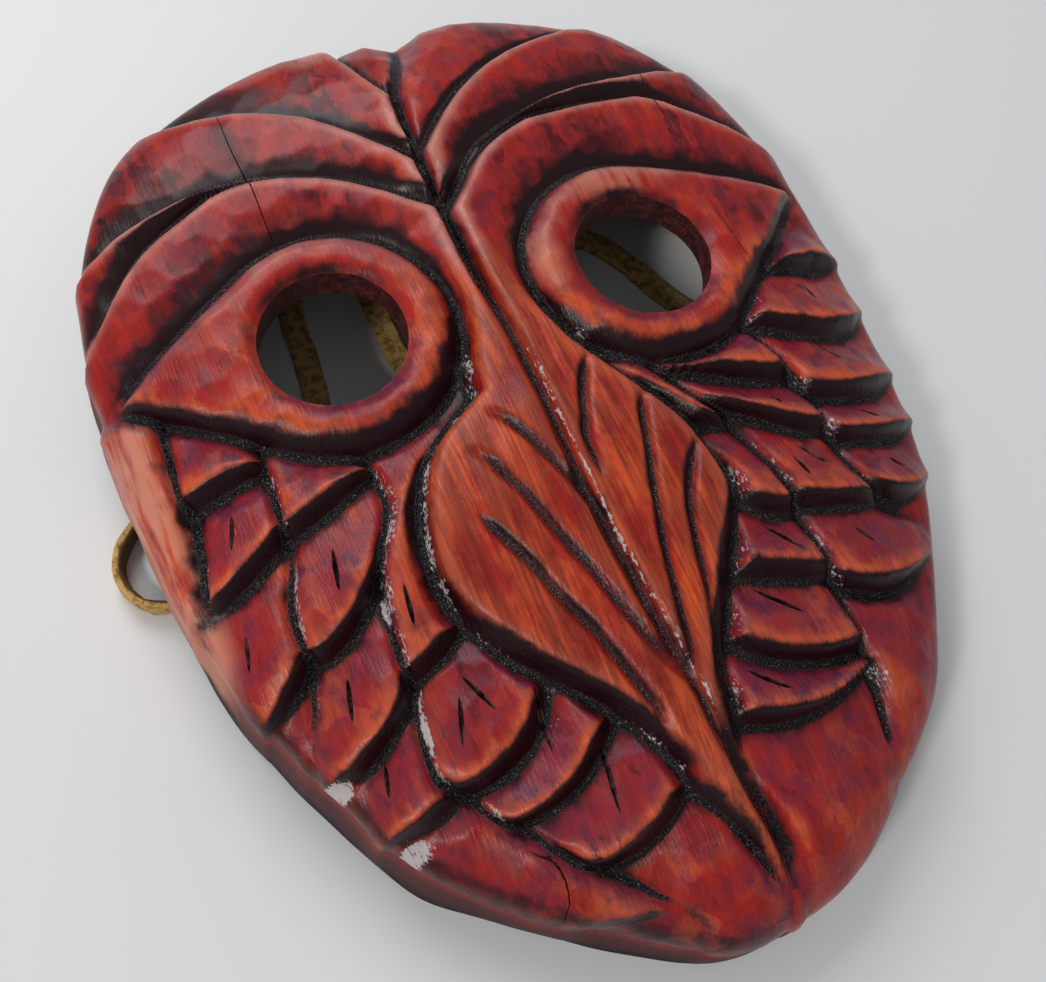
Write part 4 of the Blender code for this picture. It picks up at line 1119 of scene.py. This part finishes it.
# %% Helpers for nodes
def feed(tree, value, socket):
    """Links a node's output to a socket, or sets the socket to a plain value."""
    if isinstance(value, bpy.types.NodeSocket):
        tree.links.new(value, socket)
    else:
        socket.default_value = value


def add_node(tree, kind, inputs=(), **settings):
    """A new node with its settings, its inputs set or linked."""
    made = tree.nodes.new(kind)
    for name, value in settings.items():
        setattr(made, name, value)
    for key, value in dict(inputs).items():
        feed(tree, value, made.inputs[key])
    return made


def number_node(tree, operation, *values):
    """One step of arithmetic on values."""
    return add_node(tree, "ShaderNodeMath", dict(enumerate(values)), operation=operation).outputs[0]


def total(tree, value, *others):
    """The sum of two or more values."""
    for other in others:
        value = number_node(tree, "ADD", value, other)
    return value


def times(tree, first, second):
    """Two values multiplied."""
    return number_node(tree, "MULTIPLY", first, second)


def minus(tree, first, second):
    """The first value less the second."""
    return number_node(tree, "SUBTRACT", first, second)


def spread(tree, value, low, high):
    """Stretches a value so that low becomes 0 and high becomes 1, softly."""
    return add_node(tree, "ShaderNodeMapRange", {"Value": value, "From Min": low, "From Max": high},
                    interpolation_type="SMOOTHSTEP").outputs[0]


def blend_colours(tree, share, first, second):
    """A share of the second colour laid over the first."""
    made = add_node(tree, "ShaderNodeMix", {0: share}, data_type="RGBA")
    for key, colour in ((6, first), (7, second)):
        feed(tree, (*colour, 1) if isinstance(colour, tuple) else colour, made.inputs[key])
    return made.outputs[2]


def point_value(tree, name):
    """A value kept on the mesh's points."""
    return add_node(tree, "ShaderNodeAttribute", attribute_name=name).outputs["Fac"]


def cloud(tree, place, scale, detail=3.0, stretch=(1, 1, 1), rough=0.55):
    """Noise of a scale per metre, stretched by axis."""
    moved = add_node(tree, "ShaderNodeVectorMath", {0: place, 1: tuple(s * scale for s in stretch)},
                     operation="MULTIPLY")
    return add_node(tree, "ShaderNodeTexNoise", {"Vector": moved.outputs[0], "Scale": 1.0, "Detail": detail,
                                                 "Roughness": rough}).outputs["Fac"]


# %% [markdown]
# Three effects are built once as node groups with named inputs, and placed in each wood with
# its own values, as one keeps a jar of stain for the whole job: the grain, the black stain
# that lies in cuts and darkens the side towards its foot, and the pale on ridges, which is
# partly rubbed wood and partly painted highlight.

# %% The shared effects
FLOAT, VECTOR = "NodeSocketFloat", "NodeSocketVector"


def start_group(name, inputs, outputs):
    """A shader node group with named sockets: (name, kind, value) in and (name, kind) out."""
    tree = bpy.data.node_groups.new(name, "ShaderNodeTree")
    for title, kind, value in inputs:
        socket = tree.interface.new_socket(title, in_out="INPUT", socket_type=kind)
        if value is not None:
            socket.default_value = value
    for title, kind in outputs:
        tree.interface.new_socket(title, in_out="OUTPUT", socket_type=kind)
    return tree, tree.nodes.new("NodeGroupInput").outputs, tree.nodes.new("NodeGroupOutput").inputs


def place_group(tree, group, inputs):
    """A group placed in a material, its inputs set or linked."""
    return add_node(tree, "ShaderNodeGroup", inputs, node_tree=group).outputs


grain, given, result = start_group("wood_grain", (("Place", VECTOR, None), ("Fineness", FLOAT, 1.0)),
                                   (("Streaks", FLOAT), ("Rings", FLOAT), ("Height", FLOAT)))
fine_place = add_node(grain, "ShaderNodeVectorMath", {0: given["Place"], "Scale": given["Fineness"]},
                      operation="SCALE").outputs[0]
streaks = cloud(grain, fine_place, 1300, 4.0, (1.0, 0.035, 0.5), 0.6)
rings = cloud(grain, fine_place, 190, 3.0, (1.0, 0.05, 0.35), 0.5)
feed(grain, spread(grain, streaks, 0.3, 0.72), result["Streaks"])
feed(grain, spread(grain, rings, 0.38, 0.66), result["Rings"])
feed(grain, total(grain, streaks, times(grain, rings, 0.4)), result["Height"])

stain, given, result = start_group(
    "black_stain", (("Place", VECTOR, None), ("Cut", FLOAT, 0.0), ("Reach", FLOAT, 0.4)),
    (("Mask", FLOAT), ("Specks", FLOAT)))
rough_edge = cloud(stain, given["Place"], 900, 5.0, (1, 1, 1), 0.7)
pooled = total(stain, given["Cut"], times(stain, minus(stain, rough_edge, 0.5), 0.55))
feed(stain, spread(stain, minus(stain, pooled, given["Reach"]), -0.12, 0.26), result["Mask"])
# Grey specks: partly dust, partly painted glints on the rough stain.
speck_noise = cloud(stain, given["Place"], 2300, 2.0, (1, 1, 1), 0.6)
feed(stain, spread(stain, speck_noise, 0.60, 0.69), result["Specks"])

rub_and_highlight, given, result = start_group(
    "rub_and_highlight_ridge", (("Place", VECTOR, None), ("Ridge", FLOAT, 0.0), ("Amount", FLOAT, 0.5)),
    (("Mask", FLOAT),))
# Pale on ridges: partly rubbed wood, partly painted highlight.
patches = cloud(rub_and_highlight, given["Place"], 160, 4.0, (1, 0.5, 1), 0.6)
worn_and_lit = times(rub_and_highlight, given["Ridge"], total(rub_and_highlight, patches, 0.35))
feed(rub_and_highlight, times(rub_and_highlight, spread(rub_and_highlight, worn_and_lit, 0.12, 0.75), given["Amount"]), result["Mask"])
print("node groups:", [g.name for g in (grain, stain, rub_and_highlight)])

# %% [markdown]
# The face is varnished wood, and its colour is built in layers, as the maker did. First comes
# the stain: a deep purple-red that drifts to red, and to orange where it was wiped thin, in
# short strokes. The facets that face up the mask are mauve, partly a painted reflection of
# the light above them. The grain's dark lines come last.

# %% The face's stain
DEEP = (0.070, 0.004, 0.009)
RED = (0.43, 0.019, 0.011)
ORANGE = (0.72, 0.105, 0.022)
MAUVE_AND_SHEEN = (0.125, 0.016, 0.050)
RING_LINE = (0.10, 0.008, 0.009)
STREAK_LINE = (0.09, 0.008, 0.010)


def open_material(material):
    """A material's tree, and the Object coordinates that its patterns follow."""
    return material.node_tree, add_node(material.node_tree, "ShaderNodeTexCoord").outputs["Object"]


tree, place = open_material(FACE_WOOD)
ridge, brow_fall, on_brow, on_beak = (
    point_value(tree, name) for name in ("ridge", "brow_fall", "on_brow", "on_beak"))
figure = place_group(tree, grain, {"Place": place, "Fineness": 1.0})
drift = cloud(tree, place, 55, 4.0, (1, 0.7, 1), 0.6)
mottle = cloud(tree, place, 210, 5.0, (1, 0.6, 1), 0.65)
wobble = add_node(tree, "ShaderNodeTexNoise", {"Vector": place, "Scale": 260.0, "Detail": 3.0})
wiped = add_node(tree, "ShaderNodeVectorMath", {0: wobble.outputs["Color"], 1: (0.0035, 0.006, 0.003),
                                                2: place}, operation="MULTIPLY_ADD")
swept = add_node(tree, "ShaderNodeVectorMath", {0: wiped.outputs[0], 1: (1.5, 0.6, 1.0)},
                 operation="MULTIPLY")
strokes = add_node(tree, "ShaderNodeTexVoronoi", {"Vector": swept.outputs[0], "Scale": 150.0,
                                                  "Randomness": 1.0})
stroke_tint = add_node(tree, "ShaderNodeSeparateColor", {"Color": strokes.outputs["Color"]}).outputs[0]
drifting = number_node(tree, "MULTIPLY_ADD", total(tree, drift, times(tree, mottle, 0.6)), 1.5, -0.44)
stroke_share = minus(tree, 0.36, times(tree, on_beak, 0.22))
# Ridges are warmer, partly stain wiped thin and partly painted highlight. The cheeks and chin are warmer and
# brighter than the brows: painted light where the lamp falls on them.
warm = total(tree, times(tree, ridge, 0.8), drifting,
             times(tree, minus(tree, stroke_tint, 0.5), stroke_share),
             times(tree, on_beak, 0.12), times(tree, minus(tree, 1.0, on_brow), 0.14))
colour = blend_colours(tree, spread(tree, warm, 0.40, 0.86), DEEP, RED)
orange_share = times(tree, spread(tree, warm, 0.86, 1.36), minus(tree, 0.9, times(tree, on_brow, 0.5)))
colour = blend_colours(tree, orange_share, colour, ORANGE)
# Mauve: the stain's own mottled tone, and a painted reflection on facets that face up the mask.
upper = times(tree, point_value(tree, "upper_facet_sheen"), minus(tree, 1.0, on_beak))
mauve_and_sheen_share = times(tree, total(tree, spread(tree, mottle, 0.42, 0.70), upper),
                    minus(tree, 0.60, times(tree, on_beak, 0.50)))
colour = blend_colours(tree, mauve_and_sheen_share, colour, MAUVE_AND_SHEEN)
for name, amount, line_colour in (("Rings", 0.22, RING_LINE), ("Streaks", 0.34, STREAK_LINE)):
    line_share = times(tree, figure[name], total(tree, amount, times(tree, on_beak, 0.30)))
    colour = blend_colours(tree, line_share, colour, line_colour)
print("stain nodes:", len(tree.nodes))

# %% [markdown]
# The brows are pale on their ridges and along their crests, partly rubbed by handling and
# partly painted highlight, and the left rim has a paler patch. Each brow lobe darkens as it
# falls to the next cut, partly stain and partly painted shade, and facets turned from the light
# get painted shade. The black of the cuts lies over all that, with grey specks in it, partly dust
# and partly painted glints, and is browner on the beak.

# %% The face's worn places, painted highlight and shade, and cuts
PALE = (0.56, 0.23, 0.19)
PALE_PATCH_COLOUR = (0.62, 0.24, 0.16)
DARK = (0.014, 0.002, 0.004)
BLACK = (0.006, 0.004, 0.005)
BEAK_LINE = (0.050, 0.008, 0.012)
GREY_DUST_AND_GLINT = (0.38, 0.35, 0.35)

rub_and_highlight_amount = total(tree, 0.10, times(tree, on_brow, 0.62))
pale = place_group(tree, rub_and_highlight, {"Place": place, "Ridge": ridge, "Amount": rub_and_highlight_amount})
colour = blend_colours(tree, pale["Mask"], colour, PALE)
# The brows' crests are paler, partly rubbed and partly painted highlight.
crest = times(tree, spread(tree, total(tree, brow_fall, times(tree, mottle, 0.14)), 0.30, 0.12), 0.24)
colour = blend_colours(tree, crest, colour, PALE)
# The paler patches, partly painted highlight.
rim_streak = cloud(tree, place, 330, 3.0, (1, 0.1, 0.5), 0.6)
pale_patch = times(tree, point_value(tree, "pale_patch"), spread(tree, rim_streak, 0.30, 0.55))
colour = blend_colours(tree, times(tree, pale_patch, 0.85), colour, PALE_PATCH_COLOUR)
smudge = spread(tree, cloud(tree, place, 75, 4.0, (1, 1, 1), 0.65), 0.56, 0.80)
# Darkening from painted shade, from the stain's own mottle and smudges, and down each brow lobe towards the
# next cut, which is partly stain and partly painted shade.
shade_and_mottle = total(tree, point_value(tree, "shade"), times(tree, minus(tree, mottle, 0.5), 0.7),
             times(tree, smudge, 0.30), times(tree, spread(tree, brow_fall, 0.38, 1.0), 0.38))
colour = blend_colours(tree, spread(tree, shade_and_mottle, 0.05, 0.60), colour, DARK)
black = place_group(tree, stain, {"Place": place, "Cut": point_value(tree, "cut_depth"),
                                  "Reach": total(tree, 0.34, times(tree, on_beak, 0.16))})
cut_colour = blend_colours(tree, times(tree, on_beak, 0.6), BLACK, BEAK_LINE)
# Grey specks in the black of the cuts, partly dust and partly painted glints.
dust_and_glint = blend_colours(tree, times(tree, black["Specks"], 0.55), cut_colour, GREY_DUST_AND_GLINT)
colour = blend_colours(tree, black["Mask"], colour, dust_and_glint)
print("with wear and cuts:", len(tree.nodes))

# %% [markdown]
# The varnish is a low roughness. Its small broken glints are too fine for the lights alone,
# so they are painted: a pale colour, broken up by noise, where a facet turns to the light.
# Grain, soft waves and grit in the cuts are a bump, because they are lower than the mesh can hold.

# %% The face's varnish and painted glints
PAINTED_GLINT = (0.52, 0.46, 0.45)
FACE_RELIEF, WOOD_RELIEF = 0.00024, 0.0003
FACE_SHINE, WALL_SHINE = 0.24, 0.15


def finish_surface(material, colour, roughness, height, relief, shine=0.5):
    """Gives a material's shader its colour, roughness, bump and shine."""
    tree = material.node_tree
    shader = tree.nodes["Principled BSDF"]
    bump = add_node(tree, "ShaderNodeBump", {"Height": height, "Distance": relief, "Strength": 1.0})
    for name, value in (("Base Color", colour), ("Roughness", roughness), ("Normal", bump.outputs[0]),
                        ("Specular IOR Level", shine)):
        feed(tree, value, shader.inputs[name])
    return shader


# Painted glints: a pale colour where the glint values and the noise are high.
broken = cloud(tree, place, 1300, 4.0, (1, 0.5, 1), 0.7)
patchy = spread(tree, cloud(tree, place, 140, 2.0), 0.36, 0.62)
glint_level = number_node(tree, "MULTIPLY_ADD", point_value(tree, "glint"), 0.75,
                     number_node(tree, "MULTIPLY_ADD", broken, 1.7, -0.85))
glint_share = spread(tree, number_node(tree, "MULTIPLY_ADD", patchy, 0.24, glint_level), 0.66, 0.90)
colour = blend_colours(tree, glint_share, colour, PAINTED_GLINT)
rough = total(tree, 0.19, times(tree, mottle, 0.20))
grit = times(tree, times(tree, cloud(tree, place, 1700, 3.0), 2.4), black["Mask"])
lines = times(tree, figure["Height"], minus(tree, 0.9, times(tree, on_brow, 0.6)))
height = total(tree, lines, grit, times(tree, mottle, 0.6))
finish_surface(FACE_WOOD, colour, rough, height, FACE_RELIEF, FACE_SHINE)
print("face nodes:", len(tree.nodes))

# %% [markdown]
# The side was stained but not rubbed or varnished to a shine. It is darker towards its foot,
# nearly black there, and red at its top edge, with a paler patch at the left rim. The woods of
# the hollow, the bores and the knife cuts differ only in their colours, so one loop finishes all
# three.

# %% The other woods
WALL_FOOT = (0.030, 0.008, 0.010)
WALL_MIDDLE = (0.075, 0.009, 0.011)
WALL_TOP = (0.24, 0.018, 0.013)
WALL_STREAK = (0.06, 0.012, 0.014)
WALL_PALE_PATCH = (0.56, 0.22, 0.15)
WALL_FOOT_DARK = (0.016, 0.009, 0.010)
INNER_WOODS = (
    # The hollow's dark colours are partly painted shade inside the hollow.
    (HOLLOW_WOOD, (0.045, 0.018, 0.012), (0.13, 0.055, 0.035), 0.6),
    (BORE_WOOD, (0.035, 0.006, 0.008), (0.13, 0.018, 0.018), 0.36),
    # The knife cuts' lighter colour is partly painted glint on their walls.
    (CUT_WOOD, (0.012, 0.004, 0.005), (0.20, 0.09, 0.09), 0.24),
)

tree, place = open_material(WALL_WOOD)
figure = place_group(tree, grain, {"Place": place, "Fineness": 0.8})
mottle = cloud(tree, place, 120, 4.0, (1, 1, 1), 0.6)
level = total(tree, point_value(tree, "wall_height"), times(tree, minus(tree, mottle, 0.5), 0.5))
# Darker towards the foot, red at the top edge.
colour = blend_colours(tree, spread(tree, level, 0.08, 0.40), WALL_FOOT, WALL_MIDDLE)
colour = blend_colours(tree, spread(tree, level, 0.55, 0.95), colour, WALL_TOP)
colour = blend_colours(tree, times(tree, figure["Streaks"], 0.4), colour, WALL_STREAK)
# The paler patch at the left rim, partly painted highlight.
pale_patch = times(tree, point_value(tree, "pale_patch"), spread(tree, level, 0.15, 0.55))
colour = blend_colours(tree, times(tree, pale_patch, 0.9), colour, WALL_PALE_PATCH)
# Darker still at the foot.
black = place_group(tree, stain, {"Place": place, "Cut": minus(tree, 1.0, level), "Reach": 0.80})
colour = blend_colours(tree, black["Mask"], colour, WALL_FOOT_DARK)
height = total(tree, figure["Height"], times(tree, mottle, 1.5))
finish_surface(WALL_WOOD, colour, 0.55, height, WOOD_RELIEF, WALL_SHINE)

for wood, dark, light, roughness in INNER_WOODS:
    tree, place = open_material(wood)
    figure = place_group(tree, grain, {"Place": place, "Fineness": 0.9})
    mottle = cloud(tree, place, 300, 4.0, (1, 1, 1), 0.6)
    colour = blend_colours(tree, spread(tree, mottle, 0.35, 0.7), dark, light)
    # Grey specks, partly dust and partly painted glints.
    speckled = place_group(tree, stain, {"Place": place, "Cut": 0.35, "Reach": 0.42})
    colour = blend_colours(tree, times(tree, speckled["Specks"], 0.35), colour, GREY_DUST_AND_GLINT)
    finish_surface(wood, colour, roughness, figure["Height"], WOOD_RELIEF)
print("woods finished:", [m.name for m in wooden_mask.data.materials])

# %% [markdown]
# Suede is leather with its inner face brushed up. The nap scatters light at grazing angles,
# which is what the shader's sheen is for. The skin side is darker, and smoother; inside the loop
# its dark brown is also painted shade.

# %% The suede
NAP_GOLD = (0.88, 0.55, 0.17)
NAP_DARK = (0.36, 0.17, 0.04)
SKIN_AND_SHADE_BROWN = (0.10, 0.042, 0.016)
NAP_RELIEF = 0.0011
SHEEN_GOLD = (1.0, 0.8, 0.4, 1)

tree, place = open_material(SUEDE)
fuzz = cloud(tree, place, 1700, 5.0, (1, 1, 1), 0.75)
patch = cloud(tree, place, 420, 3.0)
colour = blend_colours(tree, spread(tree, total(tree, fuzz, patch), 0.84, 1.06), NAP_DARK, NAP_GOLD)
colour = blend_colours(tree, spread(tree, point_value(tree, "skin_and_shade_side"), 0.3, 0.8), colour, SKIN_AND_SHADE_BROWN)
shader = finish_surface(SUEDE, colour, 0.95, fuzz, NAP_RELIEF)
for name, value in (("Sheen Weight", 0.3), ("Sheen Tint", SHEEN_GOLD), ("Sheen Roughness", 0.5)):
    shader.inputs[name].default_value = value
suede_lace.data.materials.append(SUEDE)
print("suede nodes:", len(tree.nodes))

# %% [markdown]
# The mask lies on a plain pale table. A large soft window light stands past the forehead and
# gives the varnish its broad reflections. A small lamp on the left throws the shadow to the
# right and models the carving, and a grey background fills in what neither reaches.

# %% Table, lights and background
TABLE_GREY = (0.75, 0.755, 0.76)
TABLE_SIZE = 6
LIGHT_AIM = Vector((0, 0, 0.02))
bpy.ops.mesh.primitive_plane_add(size=TABLE_SIZE, location=(0, 0, 0))
table = bpy.context.object
table.name = "table"
table_top = plain_material("table_top")
shader = table_top.node_tree.nodes["Principled BSDF"]
shader.inputs["Base Color"].default_value = (*TABLE_GREY, 1)
shader.inputs["Roughness"].default_value = 0.45
table.data.materials.append(table_top)


def add_softbox(name, place, size, power, colour):
    """A square area light that looks at the mask from its place."""
    bpy.ops.object.light_add(type="AREA", location=place)
    box = bpy.context.object
    box.name = name
    box.rotation_euler = (LIGHT_AIM - Vector(place)).to_track_quat("-Z", "Y").to_euler()
    box.data.shape = "SQUARE"
    box.data.size = size
    box.data.energy = power
    box.data.color = colour


add_softbox("window_light", (-0.15, 1.10, 1.20), 0.9, 12.0, (0.99, 0.99, 1.0))
add_softbox("lamp_light", (-1.25, -0.44, 1.30), 0.25, 11.5, (1.0, 0.98, 0.95))
world = bpy.data.worlds.new("studio")
bpy.context.scene.world = world
world.use_nodes = True
world.node_tree.nodes["Background"].inputs["Color"].default_value = (0.86, 0.88, 0.90, 1)
world.node_tree.nodes["Background"].inputs["Strength"].default_value = 0.40
bpy.context.scene.view_settings.view_transform = "Standard"
print("lights: 2, table and background ready")
